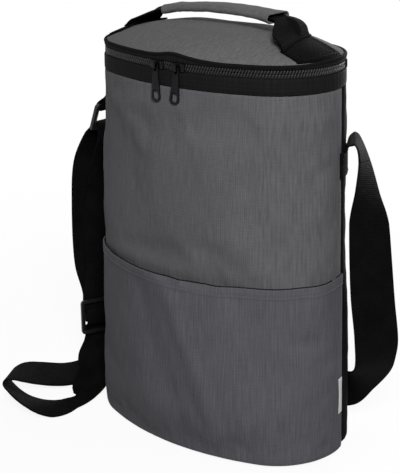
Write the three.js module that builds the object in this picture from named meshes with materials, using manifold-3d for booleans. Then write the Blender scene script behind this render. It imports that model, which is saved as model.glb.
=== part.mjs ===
// A soft insulated carrier for two wine bottles, standing on its base.
// Millimetres. +X is to the right as seen from the front, -Y is the front and +Z is up.
// The origin is the middle of the base.

import * as THREE from "three";
import { mergeVertices } from "three/addons/utils/BufferGeometryUtils.js";
import Module from "manifold-3d";

const wasm = await Module();
wasm.setup();

// The body's outline is a D: a wide front arc, two corner arcs and a straight back.
const rimWidth = 210;
const rimDepth = 116;
const rimCornerRadius = 53;
const rimHeight = 318; // the seam between the lid's top panel and its edge band
const baseSpread = 1.07; // the soft body stands this much wider at the base than at the rim

// Materials of the wall and the clearance between neighbouring pieces
const fabric = 1.2;
const clearance = 0.3;
const lining = 0.6;
const wallFoam = 4;
const baseFoam = 4;
const boardThickness = 2;
const lidFoam = 4;

// Outer panels
const sideSeamY = 20; // the front panel runs round the corners to here
const bandHeight = 12.5; // the body's edge band, below the zipper
const lidBandHeight = 3.1; // the lid's edge band, above the zipper
const zipperRoom = 6.4; // the height left between the two bands
const pocketHeight = 150;
const pocketRoom = 6.4; // how far the pocket stands off at the front
const pocketFoot = 45; // the pocket reaches its full room at this height
const labelHeight = 30;
const labelBottom = 35;
const labelStartY = 10.5;
const labelEndY = 18.5;
const labelThickness = 0.4;

// Zipper
const zipperEndY = 28; // the chain runs from here, round the front, to here
const zipperEndLength = 7;
const tapeThickness = 0.6;
const tapeInset = 1.5;
const tapeBehindBand = 10.5; // how far the lower tape reaches down behind the band
const coilHeight = 2.3;
const coilInset = 0.2;
const coilThickness = 1.1;
const coilGap = 1.2;
const sliderLength = 13;
const sliderHeight = 5.8;
const sliderPlate = 1.2;
const sliderPost = 0.6;
const sliderPostLength = 3;
const sliderClearance = 0.6;
const sliderAngle = 3; // degrees each side of the front's middle
const crownWidth = 2.2;
const crownReach = 2.9;
const crownBar = 1;
const crownHeight = 5.2;
const pullLength = 28;
const pullTopWidth = 5.2;
const pullEndWidth = 7;
const pullThickness = 1;
const pullBar = 1;
const pullEyeWidth = 3;
const pullEyeLength = 4.4;
const pullHoleWidth = 3.4;
const pullHoleLength = 6.5;
const pullLean = { left: 0, right: 5 }; // degrees

// Lid
const lidRise = 18;
const bindingHeight = 7.5;
const bindingThickness = 3.1;
const lidBindingThickness = 0.65;

// Inside
const linerTopBelowBand = 2.5;
const dividerThickness = 3;
const dividerHeight = 222;

// Handle on the lid
const handleY = 4; // the handle sits this far behind the middle
const handleWebWidth = 50;
const handleWebThickness = 1.4;
const handleFootX = 71; // where the webbing leaves the lid
const handleFootEnd = 0.97; // share of the way from the lid's middle to its edge
const handleFold = { left: 0.5, right: 0.72 }; // the webbing's width there, as a share
const gripLength = 104;
const gripShift = 3; // the grip's middle lies this far to the right
const gripRoom = 11.4; // from the lid's crown up to the middle of the grip
const gripLean = 0.9; // the right end lies this much above the handle's mean line, the left end below
const gripDroop = 3.5;
const gripWidth = 24;
const gripThickness = 5.4;
const gripFlareWidth = 28;
const gripFlareThickness = 7.6;
const gripFlareLength = 14;
const coreWidth = 19;
const coreThickness = 1.8;
const coreRoom = 0.35;
const coreFlare = 2.4; // the sleeve's ends open this much more round the core
const coreOverhang = 1;
const riserGap = 0.8; // between the core's end and the webbing that goes on from it

// Shoulder strap and its fittings
const strapWidth = 38;
const strapThickness = 1.5;
const anchorHeight = 247; // top of the sewn patch
const patchLength = 20;
const ringY = 6;
const ringLength = 47.6;
const ringBar = 4.2;
const ringThickness = 3.4;
const ringOut = 12; // how far the ring's upper bar hangs out past the rim
const ringLean = 7; // its lower bar lies this much farther out
const ringTop = [rimWidth / 2 + ringOut, 257]; // distance from the middle plane, and height
const ringBottom = [rimWidth / 2 + ringOut + ringLean, 238];
const tabThickness = 2.6;
const tabTop = 292;
const tabEye = 3;
const adjusterLength = 46;
const adjusterHeight = 32;
const adjusterThickness = 2.4;
const adjusterEndBar = 3.4;
const adjusterMiddleBar = 4.4;
const adjusterSideBar = 3.4;
const webClearance = 0.4; // between webbing and the fittings that it runs round

const baseWidth = rimWidth * baseSpread;
const baseDepth = rimDepth * baseSpread;
const bandTop = rimHeight - lidBandHeight - zipperRoom;
const bandBottom = bandTop - bandHeight;
const lidBandBottom = rimHeight - lidBandHeight;
const chainMiddle = (bandTop + lidBandBottom) / 2;

const material = (color, roughness, metalness = 0) =>
  new THREE.MeshStandardMaterial({ color, roughness, metalness });

const greyPolyester = material("#5c5c60", 0.85);
const blackPolyester = material("#1d1d1f", 0.85);
const blackWebbing = material("#121213", 0.8);
const zipperNylon = material("#19191a", 0.6);
const sliderEnamel = material("#101010", 0.3, 0.4);
const silverFilm = material("#c9cbce", 0.35, 0.3);
const whiteFoam = material("#e9e9e6", 0.9);
const greyBoard = material("#b9b7b0", 0.8);
const blackAcetal = material("#141414", 0.35);
const whiteSatin = material("#eeeeec", 0.6);

// The arcs of the outline at a height, before any inset.
function outline(z) {
  const spread = 1 + (baseSpread - 1) * Math.max(0, 1 - z / rimHeight);
  const halfDepth = (rimDepth / 2) * spread;
  const corner = rimCornerRadius * spread;
  const cornerX = (rimWidth / 2) * spread - corner;
  const cornerY = halfDepth - corner;
  const depth = 2 * halfDepth;
  const front = (cornerX ** 2 + depth ** 2 - 2 * depth * corner) / (2 * (depth - 2 * corner));
  const frontY = front - halfDepth;
  const half = Math.atan2(cornerX, frontY - cornerY);
  return { halfDepth, corner, cornerX, cornerY, front, frontY, half };
}

// A place along the outline is a number: 0 is the middle of the front, 1 the end of the front arc,
// 2 the start of the straight back and 3 the middle of the back. Minus is the left side.
function outlinePoint(z, inset, place) {
  const o = outline(z);
  const wrapped = place > 3 ? place - 6 : place;
  const side = Math.sign(wrapped) || 1;
  const along = Math.abs(wrapped);
  if (along <= 1) {
    const a = wrapped * o.half;
    const r = o.front - inset;
    return [r * Math.sin(a), o.frontY - r * Math.cos(a)];
  }
  if (along <= 2) {
    const a = o.half + (along - 1) * (Math.PI - o.half);
    const r = o.corner - inset;
    return [side * (o.cornerX + r * Math.sin(a)), o.cornerY - r * Math.cos(a)];
  }
  return [side * o.cornerX * (3 - along), o.halfDepth - inset];
}

// The place on the right corner arc that lies at a given Y at the rim.
function placeAtY(y) {
  const o = outline(rimHeight);
  const a = Math.acos((o.cornerY - y) / o.corner);
  return 1 + (a - o.half) / (Math.PI - o.half);
}

// A length along the corner arc, as a difference of place.
function cornerShare(length) {
  const o = outline(rimHeight);
  return length / (o.corner * (Math.PI - o.half));
}

// Every piece shares the same facets: this many to each unit of place, more on the corners.
function facets(unit) {
  const kind = ((unit % 6) + 6) % 6;
  if (kind === 1 || kind === 4) return 11;
  return kind === 0 || kind === 5 ? 7 : 1;
}

// The places of the facets' edges between two places, and those two themselves.
function places(from, to) {
  const list = [from];
  for (let unit = Math.floor(from); unit < to; unit++)
    for (let i = 0; i < facets(unit); i++) {
      const place = unit + i / facets(unit);
      if (place > from + 1e-6 && place < to - 1e-6) list.push(place);
    }
  list.push(to);
  return list;
}

const wholeLoop = places(-3, 3).slice(0, -1);
const seamPlace = placeAtY(sideSeamY);
const seamGap = cornerShare(clearance / 2);
const frontPlaces = places(-seamPlace + seamGap, seamPlace - seamGap);
const backPlaces = places(seamPlace + seamGap, 6 - seamPlace - seamGap);
const zipperPlace = placeAtY(zipperEndY);
const zipperPlaces = places(-zipperPlace, zipperPlace);

// One row of points on the outline's facets. The inset is a number or a function of the place.
function row(list, z, inset) {
  const insetAt = typeof inset === "function" ? inset : () => inset;
  return list.map((place) => {
    const unit = Math.floor(place + 1e-9);
    const count = facets(unit);
    const cell = Math.floor((place - unit) * count + 1e-6);
    const share = Math.max(0, (place - unit) * count - cell);
    const [from, to] = [unit + cell / count, unit + (cell + 1) / count];
    const [x0, y0] = outlinePoint(z, insetAt(from), from);
    const [x1, y1] = outlinePoint(z, insetAt(to), to);
    return [x0 + share * (x1 - x0), y0 + share * (y1 - y0), z];
  });
}

// A closed mesh from points and triangles, turned so that its faces point out.
function closedMesh(points, triangles) {
  let volume = 0;
  const v = points.map((p) => new THREE.Vector3(...p));
  for (const [a, b, c] of triangles) volume += v[a].dot(v[b].clone().cross(v[c]));
  const facing = volume < 0 ? triangles.map(([a, b, c]) => [a, c, b]) : triangles;
  const geometry = new THREE.BufferGeometry();
  geometry.setAttribute("position", new THREE.Float32BufferAttribute(points.flat(), 3));
  geometry.setIndex(facing.flat());
  geometry.computeVertexNormals();
  return geometry;
}

// A sheet with thickness: two grids of points with the same rows, joined at their edges.
function sheetSolid(outer, inner, loop = false) {
  const rows = outer.length;
  const columns = outer[0].length;
  const points = [...outer.flat(), ...inner.flat()];
  const at = (layer, r, c) => layer * rows * columns + r * columns + (c % columns);
  const triangles = [];
  const quad = (a, b, c, d) => triangles.push([a, b, c], [a, c, d]);
  const spans = loop ? columns : columns - 1;
  for (let r = 0; r < rows - 1; r++)
    for (let c = 0; c < spans; c++) {
      quad(at(0, r, c), at(0, r, c + 1), at(0, r + 1, c + 1), at(0, r + 1, c));
      quad(at(1, r, c), at(1, r + 1, c), at(1, r + 1, c + 1), at(1, r, c + 1));
    }
  const top = rows - 1;
  for (let c = 0; c < spans; c++) {
    quad(at(0, 0, c), at(1, 0, c), at(1, 0, c + 1), at(0, 0, c + 1));
    quad(at(0, top, c), at(0, top, c + 1), at(1, top, c + 1), at(1, top, c));
  }
  const last = columns - 1;
  for (let r = 0; r < rows - 1 && !loop; r++) {
    quad(at(0, r, 0), at(0, r + 1, 0), at(1, r + 1, 0), at(1, r, 0));
    quad(at(0, r, last), at(1, r, last), at(1, r + 1, last), at(0, r + 1, last));
  }
  return closedMesh(points, triangles);
}

// A solid lofted through closed loops of points, with a fan over the first and the last loop.
function loftSolid(loops) {
  const count = loops[0].length;
  const points = loops.flat();
  const triangles = [];
  for (let k = 0; k < loops.length - 1; k++)
    for (let i = 0; i < count; i++) {
      const j = (i + 1) % count;
      const [a, b, c, d] = [k * count + i, k * count + j, (k + 1) * count + j, (k + 1) * count + i];
      triangles.push([a, b, c], [a, c, d]);
    }
  for (const [k, turned] of [[0, true], [loops.length - 1, false]]) {
    const middle = [0, 1, 2].map((n) => loops[k].reduce((sum, p) => sum + p[n], 0) / count);
    points.push(middle);
    const hub = points.length - 1;
    for (let i = 0; i < count; i++) {
      const [a, b] = [k * count + i, k * count + ((i + 1) % count)];
      triangles.push(turned ? [hub, b, a] : [hub, a, b]);
    }
  }
  return closedMesh(points, triangles);
}

// A wall of the body between two heights and two insets.
const wall = (list, bottom, top, outerInset, innerInset, loop = false) =>
  sheetSolid(
    [row(list, bottom, outerInset), row(list, top, outerInset)],
    [row(list, bottom, innerInset), row(list, top, innerInset)],
    loop,
  );

const slab = (bottom, top, inset) =>
  loftSolid([row(wholeLoop, bottom, inset), row(wholeLoop, top, inset)]);

// Booleans on closed meshes
function toSolid(geometry) {
  const bare = geometry.clone();
  bare.deleteAttribute("normal");
  bare.deleteAttribute("uv");
  const merged = mergeVertices(bare, 1e-4);
  return new wasm.Manifold(
    new wasm.Mesh({
      numProp: 3,
      vertProperties: new Float32Array(merged.attributes.position.array),
      triVerts: new Uint32Array(merged.index.array),
    }),
  );
}

function fromSolid(solid) {
  const mesh = solid.getMesh();
  const geometry = new THREE.BufferGeometry();
  const positions = [];
  for (let i = 0; i < mesh.numVert; i++)
    positions.push(...mesh.vertProperties.subarray(i * mesh.numProp, i * mesh.numProp + 3));
  geometry.setAttribute("position", new THREE.Float32BufferAttribute(positions, 3));
  geometry.setIndex([...mesh.triVerts]);
  geometry.computeVertexNormals();
  return geometry;
}

// A box given by its lowest and highest corners.
function block(low, high) {
  const size = high.map((h, i) => h - low[i]);
  const middle = high.map((h, i) => (h + low[i]) / 2);
  return new THREE.BoxGeometry(...size).translate(...middle);
}

const joined = (...geometries) =>
  fromSolid(geometries.map(toSolid).reduce((sum, solid) => sum.add(solid)));

// A rectangle with rounded corners, as points for a shape or for a hole in one.
function roundedRectangle(target, width, height, radius, centreY = 0) {
  const [x, y] = [width / 2, height / 2];
  const corners = [[1, 1, 0], [-1, 1, 90], [-1, -1, 180], [1, -1, 270]];
  const points = [];
  for (const [sx, sy, start] of corners)
    for (const turn of [0, 45, 90]) {
      const a = THREE.MathUtils.degToRad(start + turn);
      points.push(
        new THREE.Vector2(
          sx * (x - radius) + radius * Math.cos(a),
          centreY + sy * (y - radius) + radius * Math.sin(a),
        ),
      );
    }
  target.setFromPoints(points);
  return target;
}

const carrier = new THREE.Group();

function addPiece(name, geometry, surface, parent = carrier) {
  const mesh = new THREE.Mesh(geometry, surface);
  mesh.name = name;
  parent.add(mesh);
  return mesh;
}

// Outer shell: base, front, back and the band under the zipper
addPiece("base_panel", slab(0, fabric, 0), blackPolyester);
addPiece("front_panel", wall(frontPlaces, fabric, bandBottom, 0, fabric), greyPolyester);
addPiece("back_panel", wall(backPlaces, fabric, bandBottom, 0, fabric), blackPolyester);
addPiece("edge_band", wall(wholeLoop, bandBottom, bandTop, 0, fabric, true), blackPolyester);

// Pocket over the lower half of the front, open at the top
function pocketStandoff(place, z) {
  const across = Math.cos(((Math.PI / 2) * place) / seamPlace) ** 2;
  const up = THREE.MathUtils.smoothstep(z, 0, pocketFoot);
  return clearance + pocketRoom * across * up;
}

function frontPocket() {
  const heights = [0, 0.25, 0.5, 0.75, 1].map((share) => fabric + share * (pocketFoot - fabric));
  heights.push((pocketFoot + pocketHeight) / 2, pocketHeight);
  const layer = (extra) =>
    heights.map((z) => row(frontPlaces, z, (place) => -pocketStandoff(place, z) - extra));
  return sheetSolid(layer(fabric), layer(0));
}
addPiece("front_pocket", frontPocket(), greyPolyester);

// Blank care label, sewn in at the right side seam over the pocket
function sideLabel() {
  const list = places(placeAtY(labelStartY), placeAtY(labelEndY));
  const rows = (extra) =>
    [labelBottom, labelBottom + labelHeight].map((z) =>
      row(list, z, (place) => -pocketStandoff(place, z) - fabric - clearance - extra),
    );
  return sheetSolid(rows(labelThickness), rows(0));
}
addPiece("side_label", sideLabel(), whiteSatin);

// Base and wall insulation
const foamInset = fabric + clearance;
const boardBottom = fabric + clearance;
const baseFoamBottom = boardBottom + boardThickness + clearance;
const baseFoamTop = baseFoamBottom + baseFoam;
const bindingBottom = bandTop - linerTopBelowBand - bindingHeight;
addPiece("base_board", slab(boardBottom, boardBottom + boardThickness, foamInset), greyBoard);
addPiece("base_foam", slab(baseFoamBottom, baseFoamTop, foamInset), whiteFoam);
const foamTop = bandTop - tapeBehindBand - clearance;
for (const [name, list] of [["front_foam", frontPlaces], ["back_foam", backPlaces]])
  addPiece(name, wall(list, baseFoamTop, foamTop, foamInset, foamInset + wallFoam), whiteFoam);

// Liner: a cup of coated film, with a bound edge behind the zipper
const linerInset = foamInset + wallFoam + clearance;
const linerFloor = baseFoamTop + clearance;
const linerTop = bandTop - linerTopBelowBand;
addPiece(
  "liner",
  loftSolid([
    row(wholeLoop, linerFloor, linerInset),
    row(wholeLoop, linerTop, linerInset),
    row(wholeLoop, linerTop, linerInset + lining),
    row(wholeLoop, linerFloor + lining, linerInset + lining),
  ]),
  silverFilm,
);
const behindTape = tapeInset + tapeThickness + clearance;
addPiece(
  "liner_binding",
  wall(wholeLoop, bindingBottom, linerTop, behindTape, behindTape + bindingThickness, true),
  blackPolyester,
);

// Divider between the two bottles
function divider() {
  const loop = (z) => {
    const reach = outline(z).halfDepth - linerInset - lining - clearance;
    const x = dividerThickness / 2;
    return [[-x, -reach, z], [x, -reach, z], [x, reach, z], [-x, reach, z]];
  };
  const bottom = linerFloor + lining + clearance;
  return loftSolid([loop(bottom), loop(bottom + dividerHeight)]);
}
addPiece("divider", divider(), silverFilm);

// Zipper: two tapes and two coils, with a folded end piece at each end
const coilBelow = chainMiddle - coilGap / 2;
const coilAbove = chainMiddle + coilGap / 2;
addPiece(
  "zipper_tape_lower",
  wall(zipperPlaces, bandTop - tapeBehindBand, coilBelow, tapeInset, tapeInset + tapeThickness),
  zipperNylon,
);
addPiece(
  "zipper_coil_lower",
  wall(zipperPlaces, coilBelow - coilHeight, coilBelow, coilInset, coilInset + coilThickness),
  zipperNylon,
);

const lid = new THREE.Group();
carrier.add(lid);
addPiece(
  "zipper_tape_upper",
  wall(zipperPlaces, coilAbove, rimHeight - clearance, tapeInset, tapeInset + tapeThickness),
  zipperNylon,
  lid,
);
addPiece(
  "zipper_coil_upper",
  wall(zipperPlaces, coilAbove, coilAbove + coilHeight, coilInset, coilInset + coilThickness),
  zipperNylon,
  lid,
);

const endStart = zipperPlace + cornerShare(clearance);
const endStop = endStart + cornerShare(zipperEndLength);
for (const [name, list] of [
  ["zipper_end_right", places(endStart, endStop)],
  ["zipper_end_left", places(-endStop, -endStart)],
])
  addPiece(
    name,
    wall(list, bandTop + clearance, lidBandBottom - clearance, -sliderPlate, coilInset + coilThickness),
    blackPolyester,
  );

// Fabric hinge round the back, between the ends of the zipper
const hingeStart = endStop + cornerShare(clearance);
addPiece(
  "lid_hinge_strip",
  wall(places(hingeStart, 6 - hingeStart), bandTop, lidBandBottom, 0, fabric),
  blackPolyester,
);

// Lid: edge band, domed top panel, foam, lining and the binding of its seam
function domeLoop(inset, z, rise, share) {
  return row(wholeLoop, rimHeight, inset).map(([x, y]) => [
    x * share,
    y * share,
    z + rise * (1 - share ** 3),
  ]);
}

const domeShares = [1, 0.93, 0.83, 0.7, 0.53, 0.32, 0.1];

function dome(insetTop, insetBottom, top, bottom, riseTop, riseBottom) {
  const inward = domeShares.map((share) => domeLoop(insetTop, top, riseTop, share));
  const outward = domeShares.map((share) => domeLoop(insetBottom, bottom, riseBottom, share));
  return loftSolid([...outward.reverse(), ...inward]);
}

const lidBindingInset = behindTape + sliderPlate + clearance;
const lidFoamInset = lidBindingInset + lidBindingThickness + clearance;
const lidFoamTop = rimHeight - clearance;
const foamRise = lidRise - fabric - clearance;
addPiece("lid_band", wall(wholeLoop, lidBandBottom, rimHeight, 0, fabric, true), blackPolyester, lid);
addPiece(
  "lid_panel",
  dome(0, fabric, rimHeight, rimHeight, lidRise, lidRise - fabric),
  greyPolyester,
  lid,
);
addPiece(
  "lid_foam",
  dome(lidFoamInset, lidFoamInset, lidFoamTop, lidFoamTop - lidFoam, foamRise, foamRise),
  whiteFoam,
  lid,
);
const lidLiningTop = lidFoamTop - lidFoam - clearance;
addPiece(
  "lid_lining",
  dome(lidFoamInset, lidFoamInset, lidLiningTop, lidLiningTop - lining, foamRise, foamRise),
  silverFilm,
  lid,
);
addPiece(
  "lid_binding",
  wall(
    wholeLoop,
    lidBandBottom - clearance,
    rimHeight - clearance,
    lidBindingInset,
    lidBindingInset + lidBindingThickness,
    true,
  ),
  blackPolyester,
  lid,
);

// Sliders run along the front arc, so each turns about the vertical through that arc's centre.
// Local axes at a slider: X along the chain, -Y outwards, Z up, with the origin on the outline.
const rearPlateFront = behindTape;
const frontPlateBack = coilInset - sliderClearance;
const frontPlateFront = frontPlateBack - sliderPlate;
const crownFront = frontPlateFront - crownReach;
const pullAxisY = (crownFront + crownBar + frontPlateFront) / 2;

function sliderBody() {
  const [x, z] = [sliderLength / 2, sliderHeight / 2];
  const [cx, cz] = [crownWidth / 2, crownHeight / 2];
  return joined(
    block([-x, frontPlateFront, -z], [x, frontPlateBack, z]),
    block([-x, rearPlateFront, -z], [x, rearPlateFront + sliderPlate * 0.7, z]),
    block(
      [-sliderPostLength / 2, frontPlateBack, -sliderPost / 2],
      [sliderPostLength / 2, rearPlateFront, sliderPost / 2],
    ),
    block([-cx, crownFront, cz - crownBar], [cx, frontPlateFront, cz]),
    block([-cx, crownFront, -cz], [cx, frontPlateFront, crownBar - cz]),
    block([-cx, crownFront, -cz], [cx, crownFront + crownBar, cz]),
  );
}

// The pull hangs from the crown. Its outline is drawn with its pivot at the origin.
function pullPlate() {
  const top = pullBar / 2;
  const end = top - pullLength;
  const radius = pullEndWidth / 2;
  const shape = new THREE.Shape();
  shape.moveTo(-pullTopWidth / 2, top);
  shape.lineTo(-pullTopWidth / 2, top - pullEyeLength - pullBar);
  shape.lineTo(-radius, end + radius);
  shape.absarc(0, end + radius, radius, Math.PI, 2 * Math.PI, false);
  shape.lineTo(pullTopWidth / 2, top - pullEyeLength - pullBar);
  shape.lineTo(pullTopWidth / 2, top);
  const eye = new THREE.Path();
  roundedRectangle(eye, pullEyeWidth, pullEyeLength, 0.4, top - pullBar - pullEyeLength / 2);
  const hole = new THREE.Path();
  const holeMiddle = end + (pullEndWidth - pullHoleWidth) / 2 + pullHoleLength / 2;
  roundedRectangle(hole, pullHoleWidth, pullHoleLength, pullHoleWidth / 2 - 0.05, holeMiddle);
  shape.holes.push(eye, hole);
  const plate = new THREE.ExtrudeGeometry(shape, {
    depth: pullThickness,
    bevelEnabled: false,
    curveSegments: 8,
  });
  return plate.translate(0, 0, -pullThickness / 2).rotateX(Math.PI / 2);
}

const rimOutline = outline(rimHeight);
for (const [side, turn] of [["left", -1], ["right", 1]]) {
  const runner = new THREE.Group();
  runner.position.set(0, rimOutline.frontY, chainMiddle);
  runner.rotation.z = THREE.MathUtils.degToRad(turn * sliderAngle);
  lid.parent.add(runner);
  const slider = addPiece(`slider_${side}`, sliderBody(), sliderEnamel, runner);
  slider.position.y = -rimOutline.front;
  const pull = addPiece(`pull_${side}`, pullPlate(), sliderEnamel, runner);
  pull.position.y = -rimOutline.front + pullAxisY;
  pull.rotation.y = THREE.MathUtils.degToRad(pullLean[side]);
}

// Height of the lid's outer surface at a place in plan
function lidHeight(x, y) {
  let [low, high] = [0, 1.2];
  const o = rimOutline;
  const inside = (px, py) => {
    const ax = Math.abs(px);
    if (Math.atan2(ax, o.frontY - py) < o.half) return Math.hypot(px, py - o.frontY) < o.front;
    if (py > o.cornerY && ax < o.cornerX) return py < o.halfDepth;
    return Math.hypot(ax - o.cornerX, py - o.cornerY) < o.corner;
  };
  for (let i = 0; i < 40; i++) {
    const share = (low + high) / 2;
    if (inside(x / share, y / share)) high = share;
    else low = share;
  }
  return rimHeight + lidRise * Math.max(0, 1 - high ** 3);
}

// The rim's distance from the middle plane at a given Y
const rimReach = (y) =>
  rimOutline.cornerX + Math.sqrt(rimOutline.corner ** 2 - (y - rimOutline.cornerY) ** 2);

// Webbing ends sewn flat to the lid
function handleFoot(side) {
  const across = [-0.5, -0.25, 0, 0.25, 0.5].map((share) => handleY + share * handleWebWidth);
  const along = [0, 0.34, 0.67, 1];
  const layer = (lift) =>
    along.map((share) =>
      across.map((y) => {
        const x = handleFootX + share * (rimReach(y) * handleFootEnd - handleFootX);
        return [side * x, y, lidHeight(x, y) + lift];
      }),
    );
  return sheetSolid(layer(clearance + handleWebThickness), layer(clearance));
}
addPiece("handle_foot_left", handleFoot(-1), blackWebbing, lid);
addPiece("handle_foot_right", handleFoot(1), blackWebbing, lid);

// A band of webbing through stations, each with its middle, its direction across, and its width.
function bandThrough(stations, thickness, from, to, steps) {
  const vector = (list) => list.map((v) => new THREE.Vector3(...v));
  const middles = new THREE.CatmullRomCurve3(vector(stations.map((s) => s.at)));
  const acrosses = new THREE.CatmullRomCurve3(vector(stations.map((s) => s.across)));
  const last = stations.length - 1;
  const loops = [];
  for (let i = 0; i <= steps; i++) {
    const t = (from + ((to - from) * i) / steps) / last;
    const middle = middles.getPoint(t);
    const tangent = middles.getTangent(t);
    const across = acrosses.getPoint(t).normalize();
    const normal = tangent.clone().cross(across).normalize();
    const k = Math.min(Math.floor(t * last), last - 1);
    const share = t * last - k;
    const width = stations[k].width + share * (stations[k + 1].width - stations[k].width);
    const corner = (w, n) =>
      middle
        .clone()
        .addScaledVector(across, (w * width) / 2)
        .addScaledVector(normal, (n * thickness) / 2)
        .toArray();
    loops.push([corner(-1, -1), corner(1, -1), corner(1, 1), corner(-1, 1)]);
  }
  return loftSolid(loops);
}

// Grip: webbing core in a padded sleeve that flares at both ends
const gripMiddle = (x) => {
  const share = (2 * (x - gripShift)) / gripLength;
  return rimHeight + lidRise + gripRoom + gripLean * share - gripDroop * share ** 2;
};

// A flat loop round the grip's axis. Its straight sides are as wide as asked, its ends are round.
function gripLoop(x, straight, thickness) {
  const points = [];
  const radius = thickness / 2;
  for (const [side, start] of [[1, -90], [-1, 90]])
    for (const turn of [0, 45, 90, 135, 180]) {
      const a = THREE.MathUtils.degToRad(start + turn);
      points.push([
        x,
        handleY + (side * straight) / 2 + radius * Math.cos(a),
        gripMiddle(x) + radius * Math.sin(a),
      ]);
    }
  return points;
}

const gripSteps = [];
for (let i = 0; i <= 14; i++) gripSteps.push(gripShift + gripLength * (i / 14 - 0.5));

function gripSleeve() {
  const flare = (x) => {
    const fromEnd = gripLength / 2 - Math.abs(x - gripShift);
    return Math.max(0, 1 - fromEnd / gripFlareLength) ** 2;
  };
  const straight = gripWidth - gripThickness;
  const widening = gripFlareWidth - gripFlareThickness - straight;
  const outside = gripSteps.map((x) =>
    gripLoop(
      x,
      straight + flare(x) * widening,
      gripThickness + flare(x) * (gripFlareThickness - gripThickness),
    ),
  );
  const inside = gripSteps.map((x) =>
    gripLoop(x, coreWidth, coreThickness + 2 * coreRoom + flare(x) * coreFlare),
  );
  return sheetSolid(outside, inside, true);
}
addPiece("handle_grip", gripSleeve(), greyPolyester, lid);

const coreEnds = [-1, 1].map((side) => gripShift + side * (gripLength / 2 + coreOverhang));
function handleCore() {
  const loop = (x) => {
    const [y, z, w, t] = [handleY, gripMiddle(x), coreWidth / 2, coreThickness / 2];
    return [[x, y - w, z - t], [x, y + w, z - t], [x, y + w, z + t], [x, y - w, z + t]];
  };
  return loftSolid([coreEnds[0], ...gripSteps, coreEnds[1]].map(loop));
}
addPiece("handle_core", handleCore(), blackWebbing, lid);

// Risers: the webbing between the lid and the grip, folded narrower as it goes up
function handleRiser(side, fold) {
  const footTop = lidHeight(handleFootX, handleY) + 2 * clearance + 1.5 * handleWebThickness;
  const startX = side < 0 ? coreEnds[0] - riserGap : coreEnds[1] + riserGap;
  const topZ = gripMiddle(startX);
  const endX = side * (handleFootX + 1);
  const footWidth = fold * handleWebWidth;
  const stations = [[0, 0, 0], [0.45, 0.22, 0.3], [0.82, 0.7, 0.7], [1, 1, 1]];
  return bandThrough(
    stations.map(([along, down, widening]) => ({
      at: [
        startX + along * (endX - startX),
        handleY - 3 * widening,
        topZ + down * (footTop - topZ),
      ],
      across: [0, 1, 0],
      width: coreWidth + widening * (footWidth - coreWidth),
    })),
    handleWebThickness,
    0,
    stations.length - 1,
    12,
  );
}
addPiece("handle_riser_left", handleRiser(-1, handleFold.left), blackWebbing, lid);
addPiece("handle_riser_right", handleRiser(1, handleFold.right), blackWebbing, lid);

// Ring on the left side, hung from a sewn tab, with its bars along Y
function strapRing() {
  const run = Math.hypot(ringBottom[0] - ringTop[0], ringTop[1] - ringBottom[1]);
  const shape = roundedRectangle(new THREE.Shape(), ringLength, run + ringBar, ringBar / 2);
  shape.holes.push(
    roundedRectangle(new THREE.Path(), ringLength - 2 * ringBar, run - ringBar, ringBar / 4),
  );
  const geometry = new THREE.ExtrudeGeometry(shape, { depth: ringThickness, bevelEnabled: false });
  geometry.translate(0, 0, -ringThickness / 2);
  const up = new THREE.Vector3(ringBottom[0] - ringTop[0], 0, ringTop[1] - ringBottom[1]).normalize();
  const along = new THREE.Vector3(0, 1, 0);
  const basis = new THREE.Matrix4().makeBasis(along, up, along.clone().cross(up));
  basis.setPosition(
    -(ringTop[0] + ringBottom[0]) / 2,
    ringY,
    (ringTop[1] + ringBottom[1]) / 2,
  );
  return geometry.applyMatrix4(basis);
}
addPiece("strap_ring", strapRing(), blackAcetal);

function ringTab() {
  const sideAt = (z) => outlinePoint(z, 0, placeAtY(ringY))[0] + clearance + 0.1;
  const legBottom = ringTop[1] + 3.4;
  const [inner, outer] = [sideAt(legBottom), sideAt(legBottom) + tabThickness];
  const eyeOuter = tabEye + tabThickness / 2;
  const shape = new THREE.Shape();
  shape.moveTo(inner, tabTop);
  shape.lineTo(inner, legBottom);
  const [turnFrom, turnTo] = [-120, 100].map(THREE.MathUtils.degToRad);
  shape.absarc(ringTop[0], ringTop[1], eyeOuter, turnFrom, turnTo, false);
  shape.lineTo(outer, legBottom + 3);
  shape.lineTo(outer, tabTop);
  const eye = new THREE.Path();
  eye.absarc(ringTop[0], ringTop[1], tabEye, 0, 2 * Math.PI, false);
  shape.holes.push(eye);
  const geometry = new THREE.ExtrudeGeometry(shape, {
    depth: strapWidth,
    bevelEnabled: false,
    curveSegments: 10,
  });
  // the shape's X is the distance to the left of the middle plane and its Y is the height
  const basis = new THREE.Matrix4().makeBasis(
    new THREE.Vector3(-1, 0, 0),
    new THREE.Vector3(0, 0, 1),
    new THREE.Vector3(0, 1, 0),
  );
  basis.setPosition(0, ringY - strapWidth / 2, 0);
  return geometry.applyMatrix4(basis);
}
addPiece("ring_tab", ringTab(), blackWebbing);

// Adjuster: a flat three-bar slide on the left run. Its frame gives the run's local axes.
const adjuster = {
  at: new THREE.Vector3(-baseWidth / 2 - 12.8, -6.4, 66),
  across: new THREE.Vector3(0.4, 0.917, 0).normalize(),
  up: new THREE.Vector3(0, 0, 1),
};
adjuster.out = adjuster.across.clone().cross(adjuster.up);

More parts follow.
